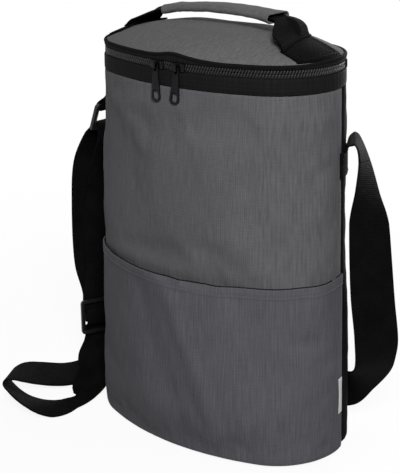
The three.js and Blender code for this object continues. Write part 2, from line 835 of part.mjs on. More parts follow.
function strapAdjuster() {
  const shape = roundedRectangle(new THREE.Shape(), adjusterLength, adjusterHeight, 3);
  const slot = (adjusterHeight - 2 * adjusterEndBar - adjusterMiddleBar) / 2;
  const middle = (adjusterMiddleBar + slot) / 2;
  for (const side of [-1, 1])
    shape.holes.push(
      roundedRectangle(
        new THREE.Path(),
        adjusterLength - 2 * adjusterSideBar,
        slot,
        1,
        side * middle,
      ),
    );
  const geometry = new THREE.ExtrudeGeometry(shape, { depth: adjusterThickness, bevelEnabled: false });
  geometry.translate(0, 0, -adjusterThickness / 2);
  const basis = new THREE.Matrix4().makeBasis(adjuster.across, adjuster.up, adjuster.out);
  basis.setPosition(adjuster.at);
  return geometry.applyMatrix4(basis);
}
addPiece("strap_adjuster", strapAdjuster(), blackAcetal);

// The shoulder strap's sewn end, flat on the right rear corner
const anchorPlace = placeAtY(rimOutline.cornerY + rimOutline.corner / 2);
function strapPatch() {
  const half = cornerShare(strapWidth / 2);
  const list = places(anchorPlace - half, anchorPlace + half);
  const rows = (outset) =>
    [anchorHeight - patchLength, anchorHeight].map((z) => row(list, z, -outset));
  return sheetSolid(rows(clearance + strapThickness), rows(clearance));
}
addPiece("strap_patch", strapPatch(), blackWebbing);

// The shoulder strap's route, from its sewn end on the right, behind the body along the floor,
// round the loop in front on the left, up through the adjuster, round the ring and back to the adjuster.
// Each station is the strap's middle, its direction across and, where it is bunched, its share of
// the full width.
const [right, left, back] = [baseWidth / 2, -baseWidth / 2, baseDepth / 2];
const floor = 0.6 + strapThickness / 2;
const onEdge = floor + strapWidth / 2;
const cornerAt = (z, lift) => {
  const o = outline(z);
  const a = Math.PI / 6;
  const r = o.corner + lift;
  return [o.cornerX + r * Math.cos(a), o.cornerY + r * Math.sin(a), z];
};
const sewnLift = clearance + strapThickness / 2;
const sewnAcross = [-0.5, 0.866, 0];
const fromAdjuster = (s, n) =>
  adjuster.at.clone().addScaledVector(adjuster.up, s).addScaledVector(adjuster.out, n).toArray();
const slideAcross = adjuster.across.toArray();
const endBarMiddle = (adjusterHeight - adjusterEndBar) / 2;
const behindBar = -(adjusterThickness / 2 + webClearance + strapThickness / 2);
const slotMiddle = (endBarMiddle - adjusterEndBar / 2 + adjusterMiddleBar / 2) / 2;
const rearLayer = behindBar - strapThickness - 1.5 * webClearance;
const loopFront = -behindBar;
const overLoop = loopFront + strapThickness + webClearance;
const hookHalf = adjusterMiddleBar / 2 + webClearance + strapThickness / 2;
const ringBend = Math.hypot(ringBar, ringThickness) / 2 + 1.5 * webClearance + strapThickness / 2;
const ringAcross = [0, 1, 0];
const overRing = [0, 45, 90, 135, 180].map((degrees) => {
  const a = THREE.MathUtils.degToRad(degrees);
  return [
    [ringBend * Math.cos(a) - ringBottom[0], ringY, ringBottom[1] + ringBend * Math.sin(a)],
    ringAcross,
  ];
});

const strapParts = {
  strap_anchor: [
    [cornerAt(anchorHeight + clearance, sewnLift), sewnAcross],
    [cornerAt(anchorHeight + 3, sewnLift + 0.6), sewnAcross],
    [cornerAt(anchorHeight + 6, sewnLift + 2.8), sewnAcross],
    [cornerAt(anchorHeight + 7, sewnLift + 6), sewnAcross],
    [[right - 0.5, 31.5, anchorHeight + 5], [-0.48, 0.87, -0.05]],
  ],
  strap_right_fall: [
    [[right + 7, 28, anchorHeight - 7], [-0.34, 0.92, -0.2]],
    [[right + 13, 24.5, anchorHeight - 30], [-0.05, 0.96, -0.26]],
    [[right + 17.6, 21, anchorHeight - 52], [0.33, 0.93, -0.17]],
    [[right + 20.9, 20, anchorHeight - 82], [0.43, 0.89, -0.15]],
    [[right + 23.3, 21, anchorHeight - 112], [0.49, 0.86, -0.13]],
    [[right + 25.3, 25, anchorHeight - 145], [0.5, 0.86, -0.11]],
    [[right + 21, 32, 81], [0.4, 0.92, -0.07]],
    [[right + 13.4, 40, 66.6], [0.36, 0.92, -0.18]],
    [[right - 3.5, 49.5, 49.5], [0.21, 0.76, -0.61]],
    [[right - 24, back, 33], [0.2, 0.3, -0.93]],
  ],
  strap_back_run: [
    [[right - 46, back + 7, 25], [0.03, 0.1, -0.99]],
    [[right - 80, back + 11, onEdge + 0.5], [0, 0, -1]],
    [[0, back + 12, onEdge], [0, 0, -1]],
    [[left + 72, back + 11, onEdge], [0, 0, -1]],
    [[left + 34, back + 6, onEdge], [0, 0, -1]],
    [[left + 4, back - 8, onEdge], [0, 0, -1]],
    [[left - 14, 35, onEdge], [0.15, 0, -0.98]],
  ],
  strap_floor_loop: [
    [[left - 24, 13, 17], [0.4, -0.3, -0.8]],
    [[left - 30, -7, 12], [0.55, -0.65, -0.45]],
    [[left - 35, -26, 9], [0.52, -0.83, -0.2]],
    [[left - 43, -38, 9], [0.52, -0.84, -0.13]],
    [[left - 54.5, -52, 12], [0.55, -0.82, -0.1]],
    [[left - 58.5, -63, 16], [0.58, -0.8, -0.05]],
    [[left - 60.5, -72, 18.5], [0.6, -0.78, 0.05]],
    [[left - 61.5, -81, 18], [0.6, -0.76, 0.2]],
    [[left - 60, -85, 14], [0.6, -0.74, 0.3]],
    [[left - 50.5, -87.5, 10.5], [0.58, -0.75, 0.32]],
    [[left - 35, -89.5, 7.6], [0.5, -0.8, 0.33]],
    [[left - 20, -89, 6.4], [0.4, -0.87, 0.27]],
  ],
  strap_left_rise: [
    [[left - 11, -84.5, 4.5], [0.35, -0.92, 0.16]],
    [[left - 4.5, -76.5, 2.2], [0.5, -0.86, 0.05]],
    [[left - 2, -66.5, floor + 0.1], [0.7, -0.7, 0], 0.75],
    [[left - 2, -57, floor + 0.1], [0.75, -0.66, 0], 0.6],
    [[left - 4, -44, 4], [0.95, 0.2, 0.1], 0.65],
    [[left - 7.5, -33, 10], [0.6, 0.8, 0], 0.85],
    [[left - 9, -23.5, 20], [0.36, 0.93, 0]],
    [[left - 11.5, -17, 35], [0.47, 0.88, 0]],
    [fromAdjuster(-endBarMiddle - 6, behindBar - 0.8), slideAcross],
  ],
  strap_weave: [
    [fromAdjuster(-endBarMiddle + 1.2, behindBar - 0.5), slideAcross],
    [fromAdjuster(-slotMiddle - 1.4, -1.4), slideAcross],
    [fromAdjuster(-slotMiddle + 1.4, 3), slideAcross],
    [fromAdjuster(-2.5, overLoop), slideAcross],
    [fromAdjuster(2.5, overLoop), slideAcross],
    [fromAdjuster(slotMiddle - 1.4, 3), slideAcross],
    [fromAdjuster(slotMiddle + 1.4, -1.4), slideAcross],
    [fromAdjuster(endBarMiddle - 1.2, behindBar - 0.5), slideAcross],
  ],
  strap_front_layer: [
    [fromAdjuster(endBarMiddle + 4, behindBar - 0.3), slideAcross],
    [[left - 13.5, -2, 112], [0.6, 0.8, 0]],
    [[left - 13.4, -0.6, 165], [0.66, 0.75, 0]],
    [[left - 9.5, 3.6, 205], [0.35, 0.94, 0]],
    [[ringBend - ringBottom[0] + 0.3, ringY - 0.3, ringBottom[1] - 9], [0.02, 1, 0]],
  ],
  strap_ring_bend: overRing,
  strap_rear_layer: [
    [[-ringBottom[0] - ringBend - 3.4, ringY - 0.8, ringBottom[1] - 7], [0.2, 0.98, 0]],
    [[left - 23, -2, 207], [0.5, 0.86, 0]],
    [[left - 23, -6.2, 170], [0.66, 0.75, 0]],
    [[left - 21.6, -7, 112], [0.57, 0.82, 0]],
    [fromAdjuster(endBarMiddle + 9, rearLayer - 1.2), slideAcross],
  ],
  strap_tail: [
    [fromAdjuster(endBarMiddle - 1.5, rearLayer - 0.2), slideAcross],
    [fromAdjuster(hookHalf + 2.8, behindBar - 1), slideAcross],
    [fromAdjuster(hookHalf - 1.4, behindBar), slideAcross],
    [fromAdjuster(1.4 - hookHalf, behindBar), slideAcross],
    [fromAdjuster(-hookHalf - 0.4, 0), slideAcross],
    [fromAdjuster(1.4 - hookHalf, loopFront), slideAcross],
    [fromAdjuster(hookHalf - 1.2, loopFront), slideAcross],
  ],
};
const facetsPerPart = {
  strap_anchor: 14,
  strap_right_fall: 28,
  strap_back_run: 20,
  strap_floor_loop: 80,
  strap_left_rise: 22,
  strap_weave: 30,
  strap_front_layer: 14,
  strap_ring_bend: 16,
  strap_rear_layer: 18,
  strap_tail: 26,
};

// The strap is one smooth band, cut into its lengths with a clearance at every cut.
const strapRoute = Object.values(strapParts)
  .flat()
  .map(([at, across, bunched = 1]) => ({ at, across, width: bunched * strapWidth }));
let firstStation = 0;
for (const [name, list] of Object.entries(strapParts)) {
  const spacing = (k) =>
    new THREE.Vector3(...strapRoute[k].at).distanceTo(new THREE.Vector3(...strapRoute[k + 1].at));
  const end = Math.min(firstStation + list.length, strapRoute.length - 1);
  const from = firstStation && firstStation + clearance / 2 / spacing(firstStation);
  const to = end === strapRoute.length - 1 ? end : end - clearance / 2 / spacing(end - 1);
  addPiece(name, bandThrough(strapRoute, strapThickness, from, to, facetsPerPart[name]), blackWebbing);
  firstStation = end;
}

export default carrier;
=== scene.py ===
# A soft insulated carrier for two wine bottles: a D-shaped body with a domed zip lid, a grip on
# webbing, a front pocket and a shoulder strap that lies round the body.
# +X right, -Y front, +Z up, origin in the middle of the base. The shapes are worked out in
# millimetres and become metres when they go into a mesh.
import math
from types import SimpleNamespace

import bmesh
import bpy
from mathutils import Matrix, Vector, noise


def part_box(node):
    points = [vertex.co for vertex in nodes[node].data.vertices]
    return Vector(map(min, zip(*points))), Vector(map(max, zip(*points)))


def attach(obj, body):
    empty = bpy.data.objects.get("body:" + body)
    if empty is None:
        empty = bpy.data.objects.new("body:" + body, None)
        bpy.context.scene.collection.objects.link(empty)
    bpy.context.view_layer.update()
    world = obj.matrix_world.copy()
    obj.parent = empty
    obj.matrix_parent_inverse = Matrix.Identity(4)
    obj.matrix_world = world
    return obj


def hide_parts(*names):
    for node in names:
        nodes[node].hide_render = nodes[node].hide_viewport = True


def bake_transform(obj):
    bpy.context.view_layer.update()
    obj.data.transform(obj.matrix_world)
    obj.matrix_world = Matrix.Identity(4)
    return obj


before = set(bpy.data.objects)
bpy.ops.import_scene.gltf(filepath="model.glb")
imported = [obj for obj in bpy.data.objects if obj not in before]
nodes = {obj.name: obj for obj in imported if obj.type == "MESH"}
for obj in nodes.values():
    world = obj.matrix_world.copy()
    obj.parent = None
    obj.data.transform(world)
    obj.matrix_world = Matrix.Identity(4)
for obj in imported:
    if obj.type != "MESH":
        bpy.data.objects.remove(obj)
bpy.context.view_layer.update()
mm = 0.001


# Outline of the body

body = dict(
    rimWidth=210, rimDepth=116, cornerRadius=53, rimHeight=318, baseSpread=1.07,
    sideSeamY=20, zipperEndY=28, wallBottom=1.2, bandBottom=296, bandTop=308.5,
    bottomRound=3.0, seamDip=1.1, seamWidth=3.2,
    wrinkle=2.1,  # how far the soft walls wander in and out
    rearSwell=2.6,
)


def outlineAt(z):
    # the D at a height: a wide front arc, two corner arcs and a straight back
    spread = 1 + (body["baseSpread"] - 1) * max(0, 1 - z / body["rimHeight"])
    halfDepth = body["rimDepth"] / 2 * spread
    corner = body["cornerRadius"] * spread
    cornerX = body["rimWidth"] / 2 * spread - corner
    cornerY = halfDepth - corner
    depth = 2 * halfDepth
    front = (cornerX ** 2 + depth ** 2 - 2 * depth * corner) / (2 * (depth - 2 * corner))
    frontY = front - halfDepth
    half = math.atan2(cornerX, frontY - cornerY)
    return SimpleNamespace(halfDepth=halfDepth, corner=corner, cornerX=cornerX, cornerY=cornerY,
                           front=front, frontY=frontY, half=half)


def outlinePoint(place, z, inset=0.0):
    # place 0 is the middle of the front, 1 the end of the front arc, 2 the start of the straight
    # back, 3 the middle of the back; minus is the left side
    d = outlineAt(z)
    place = (place + 3) % 6 - 3
    side = 1 if place >= 0 else -1
    along = abs(place)
    if along <= 1:
        a, r = along * d.half, d.front - inset
        x, y = r * math.sin(a), d.frontY - r * math.cos(a)
    elif along <= 2:
        a, r = d.half + (along - 1) * (math.pi - d.half), d.corner - inset
        x, y = d.cornerX + r * math.sin(a), d.cornerY - r * math.cos(a)
    else:
        x, y = d.cornerX * (3 - along), d.halfDepth - inset
    return Vector((side * x, y, z))


rimOutline = outlineAt(body["rimHeight"])
middleHeight = 160


def lengthTo(place):
    # length along the outline at half height, so that threads run straight up the walls
    d = outlineAt(middleHeight)
    place = (place + 3) % 6 - 3 if abs(place) > 3 else place
    side = 1 if place >= 0 else -1
    along = abs(place)
    length = min(along, 1) * d.front * d.half
    length += max(0, min(along, 2) - 1) * d.corner * (math.pi - d.half)
    length += max(0, along - 2) * d.cornerX
    return side * length


def panelLength(fromPlace, toPlace):
    steps = 60
    total = 0.0
    last = outlinePoint(fromPlace, middleHeight)
    for i in range(1, steps + 1):
        here = outlinePoint(fromPlace + (toPlace - fromPlace) * i / steps, middleHeight)
        total += (here - last).length
        last = here
    return total


def placeAtY(y):
    # the place of a Y on the right corner of the rim
    a = math.acos((rimOutline.cornerY - y) / rimOutline.corner)
    return 1 + (a - rimOutline.half) / (math.pi - rimOutline.half)


def placeStep(length):
    # a length round the rim's corner as a step in place
    return length / (rimOutline.corner * (math.pi - rimOutline.half))


def behindSeam(place):
    # how far a place lies behind the nearer side seam; minus is in front of it
    return (abs((place + 3) % 6 - 3) - seamPlace) / placeStep(1)


seamPlace = placeAtY(body["sideSeamY"])
zipperPlace = placeAtY(body["zipperEndY"])
loopLength = panelLength(-3, 3)


# Helpers for meshes

def smooth(edge0, edge1, x):
    # 0 at edge0 and 1 at edge1, either way round
    t = min(1, max(0, (x - edge0) / (edge1 - edge0)))
    return t * t * (3 - 2 * t)


def wander(u, z, seed, across=46, along=85):
    # a soft rise and fall of cloth over foam, about -1 to 1
    big = noise.noise(Vector((u / across, z / along, seed)))
    small = noise.noise(Vector((u / across * 2.6 + 7, z / along * 2.3, seed + 3)))
    return 1.3 * big + 0.45 * small


def newObject(name, data):
    piece = bpy.data.objects.new(name, data)
    bpy.context.scene.collection.objects.link(piece)
    return piece


def objectFrom(bm, name):
    mesh = bpy.data.meshes.new(name)
    bm.to_mesh(mesh)
    bm.free()
    return newObject(name, mesh)


def finishPiece(piece, material, angle=40):
    piece.data.materials.clear()
    piece.data.materials.append(material)
    piece.data.shade_smooth()
    piece.data.set_sharp_from_angle(angle=math.radians(angle))
    return piece


def softEdge(piece, width, segments):
    edge = piece.modifiers.new("soft edge", "BEVEL")
    edge.width = width * mm
    edge.segments = segments
    edge.limit_method = "ANGLE"
    return edge


def turnOutwards(bm, inside):
    # turns the faces over where most of them look towards a point inside
    facing = sum(f.normal.dot(f.calc_center_median() - Vector(inside) * mm) * f.calc_area()
                 for f in bm.faces)
    if facing < 0:
        bmesh.ops.reverse_faces(bm, faces=bm.faces)
    return facing < 0


def sheetPiece(name, columns, rows, shape, thickness, material,
               inside=None, offset=-1.0, rim=0.35, closed=False, angle=40):
    # A sheet of cloth: a grid laid on a shape, which gives a point and a cloth place for u and v
    # from 0 to 1, then thickened. The cloth place becomes its UV map, in metres.
    bm = bmesh.new()
    bmesh.ops.create_grid(bm, x_segments=columns, y_segments=rows, size=0.5)
    uvLayer = bm.loops.layers.uv.new("cloth")
    placed = {v: shape(v.co.x + 0.5, v.co.y + 0.5) for v in bm.verts}
    for face in bm.faces:
        for loop in face.loops:
            cloth = placed[loop.vert][1]
            loop[uvLayer].uv = (cloth[0] * mm, cloth[1] * mm)
    for v in bm.verts:
        v.co = placed[v][0] * mm
    if closed:
        bmesh.ops.remove_doubles(bm, verts=bm.verts, dist=0.02 * mm)
    bm.normal_update()
    if inside is not None:
        turnOutwards(bm, inside)
    piece = objectFrom(bm, name)
    if thickness:
        thick = piece.modifiers.new("thickness", "SOLIDIFY")
        thick.thickness = thickness * mm
        thick.offset = offset
        thick.use_even_offset = True
        thick.use_quality_normals = True
    if rim:
        softEdge(piece, rim, 2).angle_limit = math.radians(50)
    return finishPiece(piece, material, angle)


def spline(t):
    # the weight of a neighbour t cells away
    t = abs(t)
    return 2 / 3 - t * t + t ** 3 / 2 if t < 1 else max(0, 2 - t) ** 3 / 6


def settled(shape, look, heldAt, inside):
    # Lets a sewn sheet find its own folds. A coarse sheet on the same shape is cut a little too
    # large, held along its seams and blown out softly. How far each of its points went, within
    # the cap and hardly inwards, is added to the shape.
    columns, rows = look["columns"], look["rows"]
    bm = bmesh.new()
    bmesh.ops.create_grid(bm, x_segments=columns, y_segments=rows, size=0.5)
    where = [(v.co.x + 0.5, v.co.y + 0.5) for v in bm.verts]
    for v, (across, up) in zip(bm.verts, where):
        v.co = shape(across, up)[0] * mm
    bm.normal_update()
    if turnOutwards(bm, inside):
        bm.normal_update()
    before = [v.co.copy() for v in bm.verts]
    outward = [v.normal.copy() for v in bm.verts]
    sheet = objectFrom(bm, "settling")
    held = sheet.vertex_groups.new(name="held")
    for i, (across, up) in enumerate(where):
        held.add([i], heldAt(across, up), "REPLACE")
    cloth = sheet.modifiers.new("cloth", "CLOTH")
    fabric = cloth.settings
    fabric.quality = look["quality"]
    fabric.tension_stiffness = fabric.compression_stiffness = look["stiffness"]
    fabric.shear_stiffness = look["stiffness"] / 3
    fabric.bending_stiffness = look["bending"]
    fabric.shrink_min = fabric.shrink_max = -look["extra"]
    fabric.vertex_group_mass = "held"
    fabric.use_pressure = True
    fabric.uniform_pressure_force = look["pressure"]
    fabric.effector_weights.gravity = 0
    cloth.point_cache.frame_start, cloth.point_cache.frame_end = 1, look["frames"]
    for frameNumber in range(1, look["frames"] + 1):
        bpy.context.scene.frame_set(frameNumber)
    settledSheet = sheet.evaluated_get(bpy.context.evaluated_depsgraph_get())
    after = [v.co.copy() for v in settledSheet.data.vertices]
    bpy.context.scene.frame_set(1)
    bpy.data.objects.remove(sheet)
    moves = {}
    for (across, up), old, new, out in zip(where, before, after, outward):
        went = (new - old).dot(out) / mm
        went = look["cap"] * math.tanh(max(went, -look["inward"]) / look["cap"])
        moves[round(across * columns), round(up * rows)] = out * went
    went = [m.length for m in moves.values()]
    print("cloth settled, most", round(max(went), 1), "mm, mean", round(sum(went) / len(went), 2))

    def moved(u, v):
        point, cloth = shape(u, v)
        i, j = min(int(u * columns), columns - 1), min(int(v * rows), rows - 1)
        for a in range(i - 1, i + 3):
            for b in range(j - 1, j + 3):
                near = moves[min(columns, max(0, a)), min(rows, max(0, b))]
                point = point + near * spline(u * columns - a) * spline(v * rows - b)
        return point, cloth
    return moved


def roundedCopy(name, nodeName, width, segments, material):
    # a moulded or cast piece: the solid's own shape with its sharp edges rounded
    bm = bmesh.new()
    bm.from_mesh(nodes[nodeName].data)
    bmesh.ops.remove_doubles(bm, verts=bm.verts, dist=0.005 * mm)
    bmesh.ops.dissolve_limit(bm, angle_limit=math.radians(1), verts=bm.verts, edges=bm.edges)
    sharp = [e for e in bm.edges
             if len(e.link_faces) == 2 and e.calc_face_angle() > math.radians(32)]
    bmesh.ops.bevel(bm, geom=sharp, affect="EDGES", offset=width * mm, segments=segments,
                    profile=0.5, material=-1, clamp_overlap=True)
    return finishPiece(objectFrom(bm, name), material, 50)


def stitches(name, lines, sewing, material):
    # each line is a list of (point, outward); every stitch is a small rounded bar along it
    bm = bmesh.new()
    thread = sewing["thread"]
    size = Matrix.Diagonal((sewing["length"] * mm, thread * mm, thread * mm, 1))
    for line in lines:
        travelled, due = 0.0, sewing["pitch"] / 2
        for (a, outA), (b, outB) in zip(line, line[1:]):
            step = (b - a).length
            while due <= travelled + step and step > 1e-6:
                t = (due - travelled) / step
                middle = a.lerp(b, t)
                along = (b - a).normalized()
                out = outA.lerp(outB, t).normalized()
                side = out.cross(along).normalized()
                turn = Matrix((along, side, out)).transposed().to_4x4()
                spot = Matrix.Translation((middle + out * thread * 0.25) * mm)
                bmesh.ops.create_cube(bm, size=1, matrix=spot @ turn @ size)
                due += sewing["pitch"]
            travelled += step
    bmesh.ops.bevel(bm, geom=bm.edges[:], affect="EDGES", offset=thread * 0.3 * mm, segments=1,
                    profile=0.5, material=-1, clamp_overlap=True)
    return finishPiece(objectFrom(bm, name), material, 60)


def stitchChannel(distance, depth, width):
    # how far a row of stitches pulls the cloth in beside it
    return depth * math.exp(-(distance / width) ** 2)


def strip(fromPlace, toPlace, bottom, top, insetAt):
    # an upright strip that follows the outline, all round from -3 to 3
    length = panelLength(fromPlace, toPlace)

    def shape(u, v):
        place = fromPlace + u * (toPlace - fromPlace)
        z = bottom + v * (top - bottom)
        return outlinePoint(place, z, insetAt(place, z)), (u * length, z)
    return shape


# Materials

def linear(hexColour):
    parts = [int(hexColour[i:i + 2], 16) / 255 for i in (1, 3, 5)]
    return [p / 12.92 if p <= 0.04045 else ((p + 0.055) / 1.055) ** 2.4 for p in parts] + [1.0]


def addNode(tree, kind, inputs=None, **settings):
    node = tree.nodes.new(kind)
    for key, value in settings.items():
        setattr(node, key, value)
    for socket, value in (inputs or {}).items():
        if isinstance(value, bpy.types.NodeSocket):
            tree.links.new(value, node.inputs[socket])
        else:
            node.inputs[socket].default_value = value
    return node


def newMaterial(name):
    material = bpy.data.materials.new(name)
    material.use_nodes = True
    material.node_tree.nodes.clear()
    return material, material.node_tree


def finishMaterial(tree, shaderInputs):
    shader = addNode(tree, "ShaderNodeBsdfPrincipled", shaderInputs)
    addNode(tree, "ShaderNodeOutputMaterial", {"Surface": shader.outputs[0]})


def maths(tree, operation, *values):
    return addNode(tree, "ShaderNodeMath", dict(enumerate(values)), operation=operation).outputs[0]


def blended(tree, factor, a, b):
    return addNode(tree, "ShaderNodeMix", {"Factor": factor, "A": a, "B": b},
                   data_type="FLOAT").outputs[0]


def mottled(tree, place, scale, detail, roughness=0.5):
    return addNode(tree, "ShaderNodeTexNoise", {
        "Vector": place, "Scale": scale, "Detail": detail, "Roughness": roughness}).outputs[0]


def coloured(tree, factor, look):
    # between the look's dark colour and its light one
    return addNode(tree, "ShaderNodeMix", {
        "Factor": factor, "A": linear(look["dark"]), "B": linear(look["light"])},
        data_type="RGBA").outputs[2]


def stretched(tree, value, low, high):
    # low becomes 0 and high becomes 1
    return addNode(tree, "ShaderNodeMapRange", {
        "Value": value, "From Min": low, "From Max": high}).outputs[0]


def glossed(tree, value, look):
    # the roughness of smoother and rougher spots
    return addNode(tree, "ShaderNodeMapRange", {
        "Value": value, "To Min": look["smoothest"], "To Max": look["roughest"]}).outputs[0]


def embossed(tree, height, look, depth):
    return addNode(tree, "ShaderNodeBump", {
        "Height": height, "Strength": look["bump"], "Distance": depth * mm}).outputs[0]


def wovenCloth(name, look):
    # Plain-woven polyester. The threads show as fine streaks, because the yarn's dye and
    # thickness vary; the surface is matt with a faint sheen at grazing angles.
    material, tree = newMaterial(name)
    cloth = addNode(tree, "ShaderNodeUVMap", uv_map="cloth").outputs[0]
    across, along = 1000 / look["streakWidth"], 1000 / look["streakLength"]
    warpWise, weftWise = (
        addNode(tree, "ShaderNodeMapping", {"Vector": cloth, "Scale": scale}).outputs[0]
        for scale in ((across, along, 1), (along * 2, across, 1)))
    streak = mottled(tree, warpWise, 1.0, 3.0, 0.6)
    cross = mottled(tree, weftWise, 1.0, 2.0)
    cloud = mottled(tree, cloth, 1000 / look["cloudSize"], 3.0)
    shade = blended(tree, look["cross"], streak, cross)
    if "lines" in look:
        # every few warp threads are a shade darker; at scale 1 a wave is pi / 10 m long
        lines = addNode(tree, "ShaderNodeTexWave", {
            "Vector": cloth, "Scale": 100 * math.pi / look["lineSpacing"], "Distortion": 2.0,
            "Detail": 1.0, "Detail Scale": 0.3}, bands_direction="X")
        shade = blended(tree, look["lines"], shade, lines.outputs["Fac"])
    shade = stretched(tree, blended(tree, 0.08, shade, cloud), 0.32, 0.68)
    # weave: a wave is two threads wide, which is coarser than the real 0.4 mm so that it shows
    warp, weft = (addNode(tree, "ShaderNodeTexWave", {
        "Vector": cloth, "Scale": 50 * math.pi / look["threadSpacing"], "Distortion": 0.4},
        bands_direction=direction).outputs["Fac"] for direction in "XY")
    height = maths(tree, "MULTIPLY_ADD", streak, 0.8, maths(tree, "MULTIPLY", warp, weft))
    finishMaterial(tree, {
        "Base Color": coloured(tree, shade, look), "Roughness": look["roughness"], "IOR": 1.5,
        "Specular IOR Level": look["specular"], "Sheen Weight": look["sheen"],
        "Sheen Roughness": 0.5, "Normal": embossed(tree, height, look, 0.25)})
    return material


def wovenWebbing(name, look):
    # Polypropylene webbing: ribs run along it and slanted weft floats cross them in a
    # herringbone, and patches of wear vary its black a little.
    material, tree = newMaterial(name)
    cloth = addNode(tree, "ShaderNodeUVMap", uv_map="cloth").outputs[0]
    parts = addNode(tree, "ShaderNodeSeparateXYZ", {"Vector": cloth}).outputs
    ribs, floats = (2 * math.pi * 1000 / look[k] for k in ("ribSpacing", "floatSpacing"))
    rib = maths(tree, "SINE", maths(tree, "MULTIPLY", parts[0], ribs))
    slant = maths(tree, "MULTIPLY", rib, 0.9)
    weft = maths(tree, "SINE", maths(tree, "MULTIPLY_ADD", parts[1], floats, slant))
    weave = maths(tree, "MULTIPLY_ADD", rib, 0.6, weft)
    wear = mottled(tree, cloth, 1000 / look["wearSize"], 4.0)
    shade = stretched(tree, maths(tree, "MULTIPLY_ADD", weave, 0.12, wear), 0.25, 0.75)
    finishMaterial(tree, {
        "Base Color": coloured(tree, shade, look), "Roughness": look["roughness"], "IOR": 1.49,
        "Specular IOR Level": look["specular"], "Sheen Weight": look["sheen"],
        "Sheen Roughness": 0.45, "Normal": embossed(tree, weave, look, 0.22)})
    return material


# sizes in mm; streaks and threads are coarser than the real yarn where that would be too fine

# the body's outer cloth: mid grey, with long fine streaks that run up the walls
greyPolyester = wovenCloth("grey polyester, plain woven", dict(
    dark="#4e4e51", light="#646467", streakWidth=1.1, streakLength=20, cross=0.25, cloudSize=30,
    lines=0.07, lineSpacing=2.2, threadSpacing=1.1, bump=0.35, roughness=0.85, specular=0.05,
    sheen=0.04))
# the pocket's cloth comes from the same roll; its colours are set a little darker as painted
# shade, since it leans back from the light
pocketPolyesterPaintedShade = wovenCloth("grey polyester, pocket, painted shade", dict(
    dark="#4a4a4f", light="#5e5e63", streakWidth=1.1, streakLength=24, cross=0.2, cloudSize=40,
    lines=0.05, lineSpacing=2.2, threadSpacing=1.1, bump=0.35, roughness=0.85, specular=0.05,
    sheen=0.04))
# seen from above the same cloth shows short streaks both ways
lidPolyester = wovenCloth("grey polyester, lid", dict(
    dark="#4e4e4f", light="#666667", streakWidth=1.2, streakLength=7, cross=0.4, cloudSize=18,
    threadSpacing=1.1, bump=0.35, roughness=0.88, specular=0.03, sheen=0.04))
# back panel and base: solution-dyed black, matt
blackPolyester = wovenCloth("black polyester, plain woven", dict(
    dark="#0c0c0d", light="#18181a", streakWidth=0.9, streakLength=18, cross=0.3, cloudSize=24,
    threadSpacing=1.1, bump=0.4, roughness=0.85, specular=0.03, sheen=0.0))
# narrow woven tape: upright ribs and a faint grey cast
ribbedTape = wovenCloth("black grosgrain tape, ribbed", dict(
    dark="#0f0f10", light="#1d1d1e", streakWidth=1.3, streakLength=60, cross=0.05, cloudSize=30,
    threadSpacing=1.6, bump=0.9, roughness=0.75, specular=0.04, sheen=0.0))
# tight, flat weave beside the teeth, a touch shinier than the cloth
zipperTape = wovenCloth("zipper tape, woven polyester", dict(
    dark="#0c0c0d", light="#181819", streakWidth=0.6, streakLength=12, cross=0.2, cloudSize=20,
    threadSpacing=0.9, bump=0.5, roughness=0.78, specular=0.1, sheen=0.02))
# straps: deep black with a fine herringbone
blackWebbing = wovenWebbing("black webbing, woven polypropylene", dict(
    dark="#070708", light="#101011", ribSpacing=1.9, floatSpacing=1.5, wearSize=22,
    bump=0.7, roughness=0.7, specular=0.015, sheen=0.0))
# smooth satin: off-white with a soft gloss
satinLabel = wovenCloth("white satin label, woven", dict(
    dark="#cfcfcd", light="#e6e6e4", streakWidth=0.5, streakLength=10, cross=0.2, cloudSize=12,
    threadSpacing=0.7, bump=0.2, roughness=0.5, specular=0.3, sheen=0.05))
# thread that nearly vanishes in its cloth, but for small glints
greyThread = wovenCloth("grey sewing thread, spun polyester", dict(
    dark="#49494c", light="#626266", streakWidth=0.6, streakLength=3, cross=0.3, cloudSize=8,
    threadSpacing=0.6, bump=0.2, roughness=0.6, specular=0.3, sheen=0.05))
blackThread = wovenCloth("black sewing thread, spun polyester", dict(
    dark="#0b0b0c", light="#161618", streakWidth=0.6, streakLength=3, cross=0.3, cloudSize=8,
    threadSpacing=0.6, bump=0.2, roughness=0.6, specular=0.08, sheen=0.0))


def silverLining(name, look):
    # Aluminium-coloured film, heat-laminated: satin, with fine crinkles that catch the light
    material, tree = newMaterial(name)
    place = addNode(tree, "ShaderNodeTexCoord").outputs["Object"]
    crinkle = addNode(tree, "ShaderNodeTexVoronoi", {
        "Vector": place, "Scale": 1000 / look["crinkleSize"]}, feature="DISTANCE_TO_EDGE")
    fine = mottled(tree, place, 1000 / look["fineSize"], 5.0)
    height = maths(tree, "MULTIPLY_ADD", crinkle.outputs["Distance"], 0.5, fine)
    finishMaterial(tree, {
        "Base Color": coloured(tree, fine, look), "Metallic": look["metallic"],
        "Roughness": glossed(tree, fine, look), "Normal": embossed(tree, height, look, 0.6)})
    return material


def plainSurface(name, look):
    # a moulded or painted surface: slight mottling, fine grain in the gloss
    material, tree = newMaterial(name)
    place = addNode(tree, "ShaderNodeTexCoord").outputs["Object"]
    grain = mottled(tree, place, 1000 / look["grain"], 4.0)
    finishMaterial(tree, {
        "Base Color": coloured(tree, grain, look), "Roughness": glossed(tree, grain, look),
        "IOR": 1.5, "Specular IOR Level": look["specular"],
        "Normal": embossed(tree, grain, look, 0.1)})
    return material


silverFilm = silverLining("silver lining, coated film", dict(
    dark="#9fa2a6", light="#c6c8cb", crinkleSize=14.0, fineSize=6.0, smoothest=0.28,
    roughest=0.45, bump=0.5, metallic=0.75))
